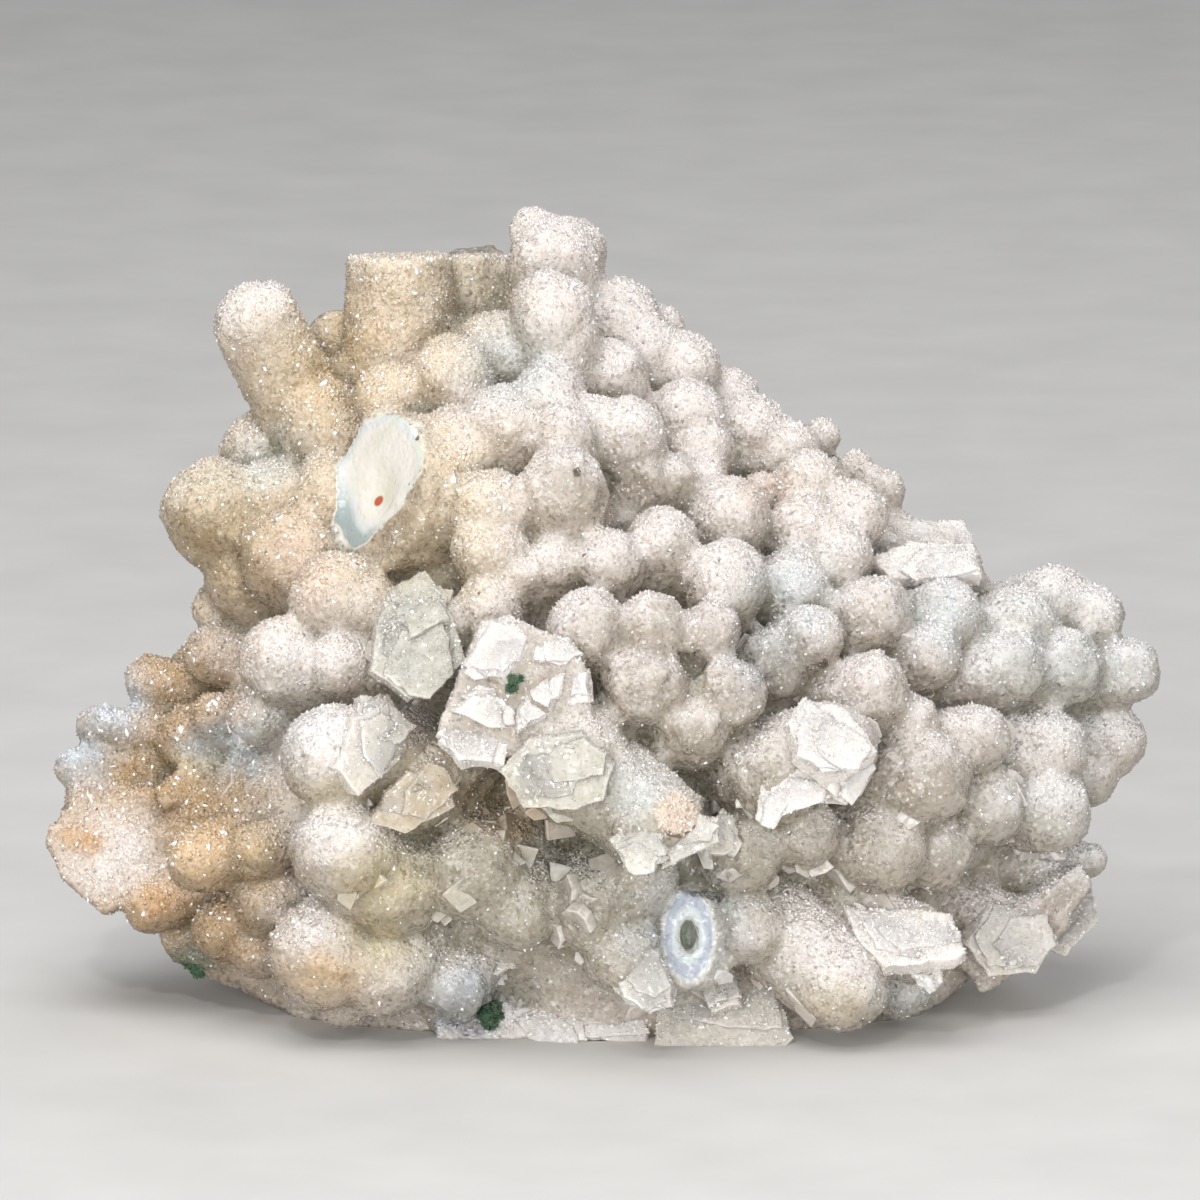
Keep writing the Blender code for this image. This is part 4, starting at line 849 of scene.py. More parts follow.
def evaluated_mesh(obj, name):
    """The mesh of an object with its modifiers applied; the object and its own mesh are removed."""
    graph = bpy.context.evaluated_depsgraph_get()
    made = bpy.data.meshes.new_from_object(obj.evaluated_get(graph))
    made.name = name
    old = obj.data
    bpy.data.objects.remove(obj)
    bpy.data.meshes.remove(old)
    return made


def with_modifier(mesh, kind, **settings):
    """A mesh put through one modifier."""
    name = mesh.name
    holder = bpy.data.objects.new(name, mesh)
    bpy.context.scene.collection.objects.link(holder)
    modifier = holder.modifiers.new(kind.lower(), kind)
    for setting, value in settings.items():
        setattr(modifier, setting, value)
    return evaluated_mesh(holder, name)


def sawn_flat(mesh):
    """Cuts a mesh level with the surface that it stands on, and closes the cut."""
    work = bmesh.new()
    work.from_mesh(mesh)
    everything = work.verts[:] + work.edges[:] + work.faces[:]
    down = (0, 0, -1)
    cut = bmesh.ops.bisect_plane(work, geom=everything, plane_co=(0, 0, 0), plane_no=down, clear_outer=True)
    rim = [item for item in cut["geom_cut"] if isinstance(item, bmesh.types.BMEdge) and item.is_boundary]
    if rim:
        bmesh.ops.triangle_fill(work, edges=rim, use_beauty=True, normal=down)
    bmesh.ops.triangulate(work, faces=work.faces[:])
    bmesh.ops.recalc_face_normals(work, faces=work.faces[:])
    work.to_mesh(mesh)
    work.free()


def facet_lift(points, size, tilt, seed):
    """How far a broken surface of flat, tilted facets stands over or under the smooth one."""
    lift = np.empty(len(points))
    offset = Vector((seed * 2.3, seed * 4.1, seed * 1.7))
    for index, point in enumerate(points.tolist()):
        place = Vector(point) / size + offset
        nearest = noise.voronoi(place)[1][0]
        turn = noise.cell_vector(nearest * 7.3)
        lean = (turn - Vector((0.5, 0.5, 0.5))).dot(place - nearest)
        lift[index] = tilt * size * lean + 0.25 * tilt * size * (turn.x - 0.5)
    return lift


def disc_share(points, knob):
    """How far from the middle of a column's flat break each point lies: 1 at its rim, more off the break."""
    tip = TIPS[knob]
    axis = np.array((tip - root_of(knob, tip)).normalized())
    from_tip = points - np.array(tip)
    along = from_tip @ axis
    across = np.linalg.norm(from_tip - along[:, None] * axis, axis=1) / knob.radius
    return across + 0.8 * np.maximum(0, np.abs(along) - 1.2)


def cut_share(points):
    """Like disc_share, for the waxy half of the agate column's break; its other half is under druse."""
    tip = TIPS[AGATE_COLUMN]
    towards = np.array((-0.757, 0.657))
    along = (points[:, :2] - np.array((tip.x, tip.y))) @ towards + 0.8 * noise_at(points, 0.6, 5)
    return disc_share(points, AGATE_COLUMN) + 2 * (1 - smooth_step(along, -5.4, -0.8))


def eye_share(points):
    """How far from the middle of the agate eye each point lies: 1 at the edge of its hole."""
    across = (points[:, 0] - AGATE_EYE.across) / AGATE_EYE.radius
    up = (points[:, 1] - AGATE_EYE.up) / (AGATE_EYE.radius * AGATE_EYE_STRETCH)
    return np.hypot(across, up)


def rough_stone(points, normals):
    """Moves the points of the smooth stone out and in by its fine relief."""
    across, up, out = points.T
    glassy = covered(GLASSY_AND_SHADED, across, up, warp_at(points))
    rear = smooth_step(-out, REAR_START, REAR_FULL)
    lift = 0.28 * noise_at(points, 0.42, 11) + 0.12 * noise_at(points, 1.1, 12)
    lift += rear * (0.55 * noise_at(points, 0.25, 13) + 0.3 * noise_at(points, 0.8, 14))
    cut = cut_share(points)
    on_cut = 1 - smooth_step(cut, 0.8, 1.05)
    lift *= 1 - 0.85 * on_cut
    lift -= on_cut * 0.7 * (1 - smooth_step(cut, 0.0, 0.5))
    for amount, size, tilt, seed in ((glassy, 2.6, 0.42, 21), (rear, 5.0, 0.5, 22)):
        chosen = np.flatnonzero(amount > 0.03)
        lift[chosen] += (amount * (1 - on_cut))[chosen] * facet_lift(points[chosen], size, tilt, seed)
    patch = smooth_step(spots_at(points, [PALE_PATCH]), 0.35, 0.6)
    lift += patch * (0.5 + 0.3 * noise_at(points, 1.8, 15))
    moved = points + normals * lift[:, None]
    eye = eye_share(points)
    front = out > face_depth(AGATE_EYE.across, AGATE_EYE.up)[0] - 4
    moved[:, 2] -= np.where(front, 3.2 * (1 - smooth_step(eye, 0.6, 1.25)), 0.0)
    return moved


def stone_mesh(sizes):
    """The whole stone as one closed mesh in the world, sawn flat, with its fine relief."""
    form = Form()
    ball = unit_ball(28, 16)
    add_mound(form)
    for knob in KNOBS:
        add_knob(form, knob, ball)
    for knob in BROKEN_COLUMNS:
        add_knob(form, knob, ball, broken=True)
    for wall in WALLS:
        add_plate(form, wall)
    add_plate(form, BIG_BREAK, face_depth)
    skin = with_modifier(form.mesh("chalcedony_skin"), "REMESH", mode="VOXEL", voxel_size=sizes.skin_voxel)
    points = world_to_face(relaxed(points_of(skin), edges_of(skin), 2))
    move_points(skin, face_to_world(points))
    normals = normals_of(skin) @ FACE_AXES.T
    move_points(skin, face_to_world(rough_stone(points, normals)))
    sawn_flat(skin)
    skin = with_modifier(skin, "DECIMATE", ratio=min(1.0, sizes.skin_triangles / len(skin.polygons)))
    points = points_of(skin)
    points[:, 2] = np.maximum(points[:, 2], 0.0)
    move_points(skin, points)
    return skin


def openness_of(mesh, rounds):
    """How far each point stands over its surroundings, in millimetres: tops above 0, crevices under it."""
    points = points_of(mesh)
    smooth = relaxed(points, edges_of(mesh), rounds)
    return np.einsum("ij,ij->i", points - smooth, normals_of(mesh)) / MM


def triangles_of(mesh):
    """The corners of a mesh's triangles, as point numbers."""
    mesh.calc_loop_triangles()
    corners = np.empty(len(mesh.loop_triangles) * 3, np.int32)
    mesh.loop_triangles.foreach_get("vertices", corners)
    return corners.reshape(-1, 3)


def values_of(mesh, name):
    """The values of a mesh's point attribute."""
    values = np.empty(len(mesh.vertices), np.float32)
    mesh.attributes[name].data.foreach_get("value", values)
    return values.astype(float)


def scattered(mesh, weights, count, dice):
    """Random places on a mesh, more of them where its points have more weight: places, normals and shares."""
    corners = triangles_of(mesh)
    points = points_of(mesh)
    one, two, three = (points[corners[:, index]] for index in range(3))
    area = np.linalg.norm(np.cross(two - one, three - one), axis=1)
    chance = area * weights[corners].mean(axis=1)
    chosen = dice.choice(len(corners), count, p=chance / chance.sum())
    share = dice.random((count, 2))
    over = share.sum(axis=1) > 1
    share[over] = 1 - share[over]
    share = np.column_stack((1 - share.sum(axis=1), share))
    corner = corners[chosen]
    place = np.einsum("ij,ijk->ik", share, points[corner])
    normal = np.einsum("ij,ijk->ik", share, normals_of(mesh)[corner])
    normal /= np.linalg.norm(normal, axis=1, keepdims=True) + 1e-9
    return place, normal, corner, share


def frames_along(normals, dice):
    """Two directions square to each normal and to each other, turned at random."""
    other = dice.normal(size=normals.shape)
    side = np.cross(normals, other)
    side /= np.linalg.norm(side, axis=1, keepdims=True) + 1e-9
    return side, np.cross(normals, side)


def tilted(normals, spread, dice):
    """Normals leaned over at random."""
    leaned = normals + spread * dice.normal(size=normals.shape)
    return leaned / (np.linalg.norm(leaned, axis=1, keepdims=True) + 1e-9)


def colour_attribute_of(mesh, name):
    """The colours of a mesh's point attribute, without alpha."""
    values = np.empty(len(mesh.vertices) * 4, np.float32)
    mesh.attributes[name].data.foreach_get("color", values)
    return values.reshape(-1, 4)[:, :3].astype(float)


def linear(red, green, blue):
    """A colour read from 0 to 255 on a screen, in the linear values that Blender works in."""
    share = np.array((red, green, blue)) / 255
    return tuple(np.where(share <= 0.04045, share / 12.92, ((share + 0.055) / 1.055) ** 2.4).tolist())


def colour_property(label, red, green, blue, note):
    """A colour that a user can change."""
    default = linear(red, green, blue)
    return FloatVectorProperty(
        name=label, description=note, subtype="COLOR", size=3, min=0.0, max=1.0, default=default
    )


def length_property(label, note, default, low, high):
    """A length that a user can change."""
    return FloatProperty(
        name=label, description=note, default=default, min=low, max=high, unit="LENGTH", precision=5
    )


def count_property(label, note, default, low, high):
    """A number of things that a user can change."""
    return IntProperty(name=label, description=note, default=default, min=low, max=high)


class SpecimenLooks(bpy.types.PropertyGroup):
    """The colours of the specimen."""

    sugar_white: colour_property("Sugar white", 226, 217, 212, "Druse on most of the knobs")
    pale_sugar: colour_property("Pale sugar", 240, 233, 230, "Druse at its whitest")
    # This colour also paints shade: the stone is darkened by it on lower sides and in crevices, where the
    # druse is thin.
    glassy_body_and_shade: colour_property("Glassy body", 186, 181, 171, "What bare stone does to the colour over it")
    glassy_grey: colour_property("Glassy grey", 196, 192, 178, "Bare milky chalcedony, seen into")
    warm_tan: colour_property("Warm tan", 222, 201, 170, "Stained stalactites at the upper left")
    dull_tan: colour_property("Dull tan", 204, 191, 168, "Faintly stained druse")
    ochre: colour_property("Ochre", 206, 180, 136, "Yellow-brown staining")
    olive: colour_property("Olive", 178, 156, 118, "Shaded staining at the far left")
    blue_grey: colour_property("Blue grey", 202, 209, 210, "Cool druse on the right arm")
    blue_white: colour_property("Blue white", 212, 221, 232, "Banded agate at the rims")
    rose_tan: colour_property("Rose tan", 220, 196, 178, "Faint pink staining")
    rose_grey: colour_property("Rose grey", 214, 203, 199, "Cool druse with a breath of pink")
    honey: colour_property("Honey", 224, 206, 176, "The side of the cut stalactite")
    earth: colour_property("Earth", 176, 142, 94, "The iron-stained hollow at the left")
    dull_earth: colour_property("Dull earth", 160, 140, 112, "Weathered patches of the broken back")
    rust: colour_property("Rust", 204, 158, 102, "Orange iron stains")
    amber: colour_property("Amber", 235, 204, 164, "Lighter orange stains")
    yellow: colour_property("Yellow", 218, 202, 158, "Yellow bands on the lower left knobs")
    slate: colour_property("Slate", 158, 164, 166, "Dark clear crystals")
    moss: colour_property("Moss", 92, 104, 82, "Celadonite staining")
    # Painted shade for the depths between the knobs.
    painted_crevice_shade: colour_property("Crevice", 106, 102, 82, "Depths between the knobs")
    rear_stone: colour_property("Rear stone", 188, 184, 174, "The broken back")
    rear_band: colour_property("Rear band", 214, 217, 219, "Bands in the broken back")
    agate_white: colour_property("Agate white", 222, 217, 208, "Milky bands of the cut stalactites")
    agate_blue: colour_property("Agate blue", 178, 183, 194, "Blue bands of the cut stalactites")
    agate_shade: colour_property("Agate shade", 158, 170, 170, "The shaded band of the cut stalactite")
    agate_hole: colour_property("Agate hole", 138, 144, 132, "The hollow in the middle of the agate eye")
    agate_green: colour_property("Agate green", 208, 206, 188, "Faint green in the cut stalactite")
    red_spot: colour_property("Red spot", 176, 92, 66, "An iron spot on the cut stalactite")
    beige: colour_property("Beige", 222, 202, 184, "The porous patch on the right of the middle")
    speck: colour_property("Speck", 84, 66, 48, "Dark grains and hairlines")
    stilbite_pearl: colour_property("Stilbite pearl", 243, 236, 229, "Edges of the stilbite plates")
    stilbite_body: colour_property("Stilbite body", 213, 209, 197, "Faces of the stilbite plates")
    stilbite_glassy: colour_property("Stilbite glassy", 184, 182, 168, "The clearest stilbite plates")
    stilbite_brown: colour_property("Stilbite brown", 188, 172, 146, "Stained stilbite plates")
    celadon: colour_property("Celadon", 34, 66, 46, "Celadonite tufts")
    celadon_light: colour_property("Light celadon", 96, 132, 104, "Tips of the celadonite tufts")
    paper: colour_property("Paper", 216, 214, 211, "The floor")


class SpecimenSizes(bpy.types.PropertyGroup):
    """The sizes and counts of the specimen's fine forms."""

    skin_voxel: length_property("Skin voxel", "Grid on which the knobs are joined", 0.00052, 0.0003, 0.002)
    skin_triangles: count_property("Skin triangles", "Triangles that the stone keeps", 186000, 20000, 195000)
    grain_size: length_property("Grain size", "A druse crystal across its foot", 0.0004, 0.0001, 0.002)
    grains: count_property("Grains", "Druse crystals in each of the three pieces", 48000, 1000, 49000)
    tablets: count_property("Tablets", "Small flat crystals on the knobs", 70, 10, 5000)
    tablet_size: length_property("Tablet size", "A small flat crystal across", 0.0036, 0.0005, 0.006)
    spikes: count_property("Spikes", "Grains in one tuft of celadonite", 1400, 50, 6000)


# Cells to the metre of the sugar on the stone and on the plates, and how strongly the crystals bend light.
SUGAR_CELLS = 2900.0
PLATE_CELLS = 2600.0
QUARTZ_IOR = 1.54
STILBITE_IOR = 1.5


class Shader:
    """A new Principled material and short ways to add nodes to it."""

    def __init__(self, name):
        self.material = bpy.data.materials.new(name)
        self.material.use_nodes = True
        self.tree = self.material.node_tree
        self.surface = self.tree.nodes["Principled BSDF"]

    def add(self, kind, settings=(), **links):
        node = self.tree.nodes.new("ShaderNode" + kind)
        for setting, value in dict(settings).items():
            setattr(node, setting, value)
        for name, value in links.items():
            self.feed(node.inputs[name.replace("_", " ")], value)
        return node

    def feed(self, socket, value):
        if isinstance(value, bpy.types.NodeSocket):
            self.tree.links.new(value, socket)
        elif isinstance(value, (tuple, list)) and len(value) == 3 and socket.type == "RGBA":
            socket.default_value = (*value, 1.0)
        else:
            socket.default_value = value

    def set(self, **values):
        for name, value in values.items():
            self.feed(self.surface.inputs[name.replace("_", " ")], value)

    def attribute(self, name, output="Fac"):
        return self.add("Attribute", {"attribute_name": name}).outputs[output]

    def mapped(self, value, low, high, to_low, to_high):
        node = self.add("MapRange", Value=value)
        for socket, number in zip(("From Min", "From Max", "To Min", "To Max"), (low, high, to_low, to_high)):
            node.inputs[socket].default_value = number
        return node.outputs["Result"]

    def mixed(self, share, one, other, blend="MIX"):
        node = self.add("Mix", {"data_type": "RGBA", "blend_type": blend, "clamp_result": True})
        self.feed(node.inputs[0], share)
        self.feed(node.inputs[6], one)
        self.feed(node.inputs[7], other)
        return node.outputs[2]

    def sum(self, one, other, operation="ADD"):
        node = self.add("Math", {"operation": operation})
        self.feed(node.inputs[0], one)
        self.feed(node.inputs[1], other)
        return node.outputs[0]

    def place(self):
        return self.add("TexCoord").outputs["Object"]

    def noise(self, scale, detail=3.0, roughness=0.55):
        node = self.add("TexNoise", Vector=self.place(), Scale=scale, Detail=detail, Roughness=roughness)
        return node.outputs["Fac"]

    def cells(self, scale, output="Distance"):
        return self.add("TexVoronoi", Vector=self.place(), Scale=scale).outputs[output]

    def ramp(self, value, stops):
        node = self.add("ValToRGB", Fac=value)
        elements = node.color_ramp.elements
        while len(elements) < len(stops):
            elements.new(0.5)
        for element, (position, colour) in zip(elements, stops):
            element.position = position
            element.color = (*colour, 1.0)
        return node.outputs["Color"]

    def facets(self, scale, strength):
        """Normals turned a little differently from one small cell to the next, as on sugar."""
        turn = self.vector("SUBTRACT", self.cells(scale, "Color"), (0.5, 0.5, 0.5))
        amount = self.add("CombineXYZ", X=strength, Y=strength, Z=strength).outputs[0]
        lean = self.vector("MULTIPLY", turn, amount)
        leaned = self.vector("ADD", lean, self.add("NewGeometry").outputs["Normal"])
        return self.vector("NORMALIZE", leaned)

    def sparkled(self, tone, scale, low, high):
        """A colour made a little lighter or darker from one small cell to the next."""
        grain = self.add("SeparateColor", Color=self.cells(scale, "Color")).outputs["Red"]
        light = self.mapped(grain, 0.0, 1.0, low, high)
        grey = self.add("CombineColor", Red=light, Green=light, Blue=light).outputs[0]
        return self.mixed(1.0, tone, grey, "MULTIPLY")

    def vector(self, operation, *values):
        node = self.add("VectorMath", {"operation": operation})
        for index, value in enumerate(values):
            self.feed(node.inputs[index], value)
        return node.outputs[0]

    def oval(self, spot, size, turn):
        """How far the surface is from the middle of a small oval on the face, in its own half widths."""
        middle = face_to_world(np.array([(spot.across, spot.up, 0.0)]))[0]
        away = self.vector("SUBTRACT", self.place(), tuple(middle))
        cosine, sine = math.cos(turn), math.sin(turn)
        ways = (cosine * FACE_AXES[0] + sine * FACE_AXES[1], cosine * FACE_AXES[1] - sine * FACE_AXES[0])
        shares = []
        for way, half in zip(ways, size):
            node = self.add("VectorMath", {"operation": "DOT_PRODUCT"})
            self.feed(node.inputs[0], away)
            self.feed(node.inputs[1], tuple(way / (half * MM)))
            shares.append(node.outputs["Value"])
        length = self.add("VectorMath", {"operation": "LENGTH"})
        self.feed(length.inputs[0], self.add("CombineXYZ", X=shares[0], Y=shares[1]).outputs[0])
        return length.outputs["Value"]

    def bump(self, height, distance, strength=1.0, normal=None):
        node = self.add("Bump", Height=height, Distance=distance, Strength=strength)
        if normal is not None:
            self.feed(node.inputs["Normal"], normal)
        return node.outputs["Normal"]


def stone_material(looks):
    """Milky chalcedony: stained and sugary by its attributes, banded on the breaks, waxy where it is bare."""
    shader = Shader("milky_chalcedony")
    sugar = shader.attribute("sugar")
    tone = shader.sparkled(shader.attribute("tone", "Color"), SUGAR_CELLS, 0.82, 1.05)
    cloud = shader.mapped(shader.noise(420.0), 0.3, 0.7, 0.0, 0.16)
    tone = shader.mixed(cloud, tone, tuple(looks.glassy_grey))
    wander = shader.mapped(shader.noise(260.0, 2.0), 0.0, 1.0, -0.1, 0.1)
    cut = shader.sum(shader.attribute("cut"), wander)
    white, blue = tuple(looks.agate_white), tuple(looks.agate_blue)
    grey, shade = tuple(looks.blue_grey), tuple(looks.agate_shade)
    green, hole = tuple(looks.agate_green), tuple(looks.agate_hole)
    milky = shader.ramp(cut, [(0.0, green), (0.35, white), (0.8, white), (0.93, grey), (0.96, white)])
    shaded = shader.ramp(cut, [
        (0.0, white), (0.42, white), (0.6, grey), (0.72, shade), (0.93, shade), (0.96, white),
    ])
    bands = shader.mixed(shader.attribute("crescent"), milky, shaded)
    smudge = shader.mapped(shader.noise(330.0, 2.0), 0.5, 0.7, 0.0, 0.7)
    bands = shader.mixed(smudge, bands, green)
    tone = shader.mixed(shader.mapped(cut, 0.95, 1.09, 1.0, 0.0), tone, bands)
    eye = shader.sum(shader.attribute("eye"), wander)
    rings = shader.ramp(shader.mapped(eye, 0.0, 3.2, 0.0, 1.0), [
        (0.0, hole), (0.26, hole), (0.3, white), (0.36, grey), (0.5, grey),
        (0.6, blue), (0.74, blue), (0.8, grey), (0.88, white), (1.0, white),
    ])
    tone = shader.mixed(shader.mapped(eye, 2.6, 3.1, 1.0, 0.0), tone, rings)
    spot = shader.mapped(shader.oval(RED_SPOT, RED_SPOT_SIZE, RED_SPOT_TURN), 0.75, 1.1, 1.0, 0.0)
    spot = shader.sum(spot, shader.mapped(shader.attribute("red"), 0.02, 0.08, 0.0, 1.0), "MULTIPLY")
    tone = shader.mixed(spot, tone, tuple(looks.red_spot))
    speck = shader.mapped(shader.attribute("speck"), 0.45, 0.6, 0.0, 0.85)
    tone = shader.mixed(speck, tone, tuple(looks.speck))
    pores = shader.mapped(shader.cells(1500.0), 0.0, 0.5, 0.0, 1.0)
    bare = shader.mapped(cut, 0.95, 1.02, 0.0, 1.0)
    uneven = shader.sum(bare, shader.mapped(sugar, 0.0, 1.0, 0.75, 1.0), "MULTIPLY")
    facets = shader.facets(SUGAR_CELLS, uneven)
    relief = shader.bump(pores, 0.00022, shader.mapped(sugar, 0.0, 1.0, 0.25, 0.9), facets)
    relief = shader.bump(shader.noise(900.0, 2.0), 0.00025, 0.5, relief)
    shader.set(
        Base_Color=tone, Roughness=shader.mapped(sugar, 0.0, 1.0, 0.2, 0.45), Normal=relief, IOR=QUARTZ_IOR,
        Subsurface_Weight=0.3, Subsurface_Radius=(1.0, 0.95, 0.82), Subsurface_Scale=0.002,
    )
    return shader.material


def druse_material(looks):
    """Fine quartz crystals that catch the light, each a little lighter or darker than the next; some carry
    painted glints in their tone.
    """
    shader = Shader("quartz_druse")
    pale = shader.mapped(shader.noise(1800.0, 1.0), 0.35, 0.65, 0.0, 0.15)
    tone = shader.mixed(pale, shader.attribute("tone", "Color"), tuple(looks.pale_sugar))
    shader.set(
        Base_Color=tone, Roughness=shader.mapped(shader.noise(2600.0, 1.0), 0.3, 0.7, 0.08, 0.36),
        IOR=QUARTZ_IOR,
    )
    return shader.material


def stilbite_material(looks, name):
    """Pearly plates: milky bodies with lighter edges, partly pale chipped edges and partly a painted edge
    highlight, finely ribbed along the plate.
    """
    shader = Shader(name)
    rim, sugar = shader.attribute("rim"), shader.attribute("sugar")
    cloud = shader.mapped(shader.noise(500.0, 4.0), 0.35, 0.7, 0.0, 0.25)
    tone = shader.mixed(cloud, shader.attribute("tone", "Color"), tuple(looks.stilbite_pearl))
    # Edges lightened towards the pearl colour, broken up by noise: partly the plates' own pale edges, partly
    # a painted edge highlight.
    chipped = shader.mapped(shader.noise(1500.0), 0.3, 0.7, 0.3, 1.0)
    edge = shader.sum(shader.mapped(rim, 0.5, 1.0, 0.0, 0.6), chipped, "MULTIPLY")
    tone = shader.mixed(edge, tone, tuple(looks.stilbite_pearl))
    tone = shader.sparkled(tone, PLATE_CELLS, 0.86, 1.04)
    sugared = shader.facets(PLATE_CELLS, shader.mapped(sugar, 0.3, 0.8, 0.1, 0.65))
    ribs = shader.bump(shader.noise(700.0, 3.0, 0.5), 0.00012, 0.35, sugared)
    shader.set(
        Base_Color=tone, Roughness=shader.mapped(shader.noise(800.0), 0.3, 0.7, 0.08, 0.24),
        Normal=ribs, IOR=STILBITE_IOR, Subsurface_Weight=0.6,
        Subsurface_Radius=(1.0, 0.97, 0.88), Subsurface_Scale=0.0018,
    )
    return shader.material


def celadonite_material(looks):
    """Earthy blue-green tufts, lighter at the tips."""
    shader = Shader("celadonite_earth")
    tips = shader.mapped(shader.attribute("rim"), 0.3, 1.0, 0.0, 0.8)
    patches = shader.mapped(shader.noise(1600.0), 0.35, 0.65, 0.0, 1.0)
    tone = shader.mixed(patches, tuple(looks.celadon), tuple(looks.moss))
    tone = shader.mixed(tips, tone, tuple(looks.celadon_light))
    shader.set(Base_Color=tone, Roughness=0.75, Normal=shader.bump(shader.noise(3000.0), 0.0001, 0.6))
    return shader.material


def paper_material(looks):
    """A matt pale sweep of card."""
    shader = Shader("pale_card")
    fibre = shader.noise(60.0, 2.0)
    shade = tuple(0.93 * value for value in looks.paper)
    shader.set(
        Base_Color=shader.mixed(shader.mapped(fibre, 0.3, 0.7, 0.0, 1.0), tuple(looks.paper), shade),
        Roughness=0.85, Specular_IOR_Level=0.1,
    )
    return shader.material


def ragged_outline(corners, dice, step, jitter):
    """A polygon with its sides broken in short, slightly stepped stretches."""
    made = []
    for start, end in zip(corners, np.roll(corners, -1, axis=0)):
        side = end - start
        length = np.linalg.norm(side)
        parts = max(1, int(round(length / step)))
        outward = np.array((side[1], -side[0])) / (length + 1e-9)
        for part in range(parts):
            share = part / parts
            shift = 0.0 if part == 0 else dice.uniform(-jitter, 0.35 * jitter)
            made.append(start + side * share + outward * shift)
    return np.array(made)


def add_lamella(form, rims, outline, middle, normal, slope, front, back, edge):
    """One thin plate: a ragged outline with chamfered edges between two depths under the face."""
    rings = (
        (0.0, back, 0.6), (0.0, front + edge, 1.0), (edge, front, 0.8), (3.2 * edge, front - 0.3 * edge, 0.0),
    )
    count = len(outline)
    centre = outline.mean(axis=0)
    reach = np.linalg.norm(outline - centre, axis=1, keepdims=True)
    points = []
    values = []
    for inset, depth, rim in rings:
        offset = (outline - centre) * (1 - np.minimum(0.6, inset / reach)) + centre - middle[:2]
        points.append(laid_on(offset, middle, slope) - normal * depth)
        values += [rim] * count
    offset = centre - middle[:2]
    hub = np.array((*centre, middle[2] + offset @ np.array(slope)))
    points.append(hub[None] - normal * (front - 0.35 * edge))
    values.append(0.0)
    faces = [tuple(range(count - 1, -1, -1))]
    for ring in range(len(rings) - 1):
        here, above = ring * count, (ring + 1) * count
        for index in range(count):
            following = (index + 1) % count
            faces.append((here + index, here + following, above + following, above + index))
    last = (len(rings) - 1) * count
    for index in range(count):
        faces.append((last + index, last + (index + 1) % count, len(rings) * count))
    form.add(np.concatenate(points), faces)
    rims += values


# A cluster's leaves: their steps outward and the depth of each, how far they are cut back from the plate,
# their ragged edges and their bevel, in millimetres, and the angle from which an edge between faces is sharp.
LEAF_FRONT = 0.3
LEAF_FRONT_MOST = -0.5
LEAF_DEPTH = 1.3
LEAF_INSET = 0.97
LEAF_STRETCH = 0.9
LEAF_JITTER = 0.22
LEAF_BEVEL = 0.14
SHARP_ANGLE = math.radians(38)


def leaves_of(plate, reach, dice):
    """The leaves that a plate splits into: each one's share of the plate, shift, slope, depth and turn."""
    yield 1.0, np.zeros(2), np.array(plate.slope), LEAF_FRONT, plate.thick, 0.0
    depth = LEAF_FRONT
    for _ in range(dice.integers(2, 4)):
        share = dice.uniform(0.55, 0.92)
        angle = dice.uniform(0, 2 * math.pi)
        shift = reach * (1 - share) * np.array((math.cos(angle), math.sin(angle)))
        slope = np.array(plate.slope) + dice.uniform(-0.1, 0.1, 2)
        front = depth - dice.uniform(0.12, 0.35)
        yield share, shift, slope, front, front + LEAF_DEPTH, dice.uniform(-0.3, 0.3)
        depth = max(LEAF_FRONT_MOST, front)


def cluster_mesh(name, plates, ground, dice):
    """Plates grown together, each split in thin, stepped leaves with chipped edges."""
    form = Form()
    rims = []
    for plate in plates:
        middle, normal, corners = plate_frame(plate, ground)
        plate = plate._replace(slope=(plate.slope[0], plate.slope[1] + CRYSTAL_LEAN))
        outline = (corners - middle[:2]) * LEAF_INSET
        reach = np.linalg.norm(outline, axis=1).mean()
        for share, shift, slope, front, back, turn in leaves_of(plate, reach, dice):
            cosine, sine = math.cos(turn), math.sin(turn)
            uneven = outline * dice.uniform(0.8, 1.1, (len(outline), 1))
            leaf = share * uneven @ np.array(((cosine, sine), (-sine, cosine))) + shift
            leaf = ragged_outline(leaf, dice, LEAF_STRETCH, LEAF_JITTER) + middle[:2]
            add_lamella(form, rims, leaf, middle, normal, slope, front, back, LEAF_BEVEL)
    mesh = form.mesh(name)
    set_attribute(mesh, "rim", "FLOAT", rims)
    mesh = with_modifier(mesh, "TRIANGULATE")
    sawn_flat(mesh)
    mesh.set_sharp_from_angle(angle=SHARP_ANGLE)
    return mesh


def dress_cluster(mesh, looks, body, share):
    """Gives a cluster its colour and its thin covering of druse as attributes."""
    points = world_to_face(points_of(mesh))
    normals = normals_of(mesh) @ FACE_AXES.T
    tone = tones_at(points, np.zeros(len(points)), 0.45, looks)
    set_attribute(mesh, "tone", "FLOAT_COLOR", np.clip(towards(tone, body, share), 0, 1))
    patches = smooth_step(noise_at(points, 0.5, 35), -0.1, 0.45)
    # Sugar thicker on sides facing up and out: partly painted top light, as it whitens the druse grains
    # there.
    facing = smooth_step(0.7 * normals[:, 1] + 0.7 * normals[:, 2], -0.1, 0.7)
    druse_and_top_light = np.maximum(patches, smooth_step(normals[:, 1], 0.1, 0.5)) * facing
    set_attribute(mesh, "sugar", "FLOAT", 0.3 + 0.5 * druse_and_top_light)


# The side of the cut stalactite that the shaded crescent lies on, and how far in the eye's rings are seen.
CRESCENT_SIDE = np.array((-0.8, -0.6))
EYE_REACH = 5.0


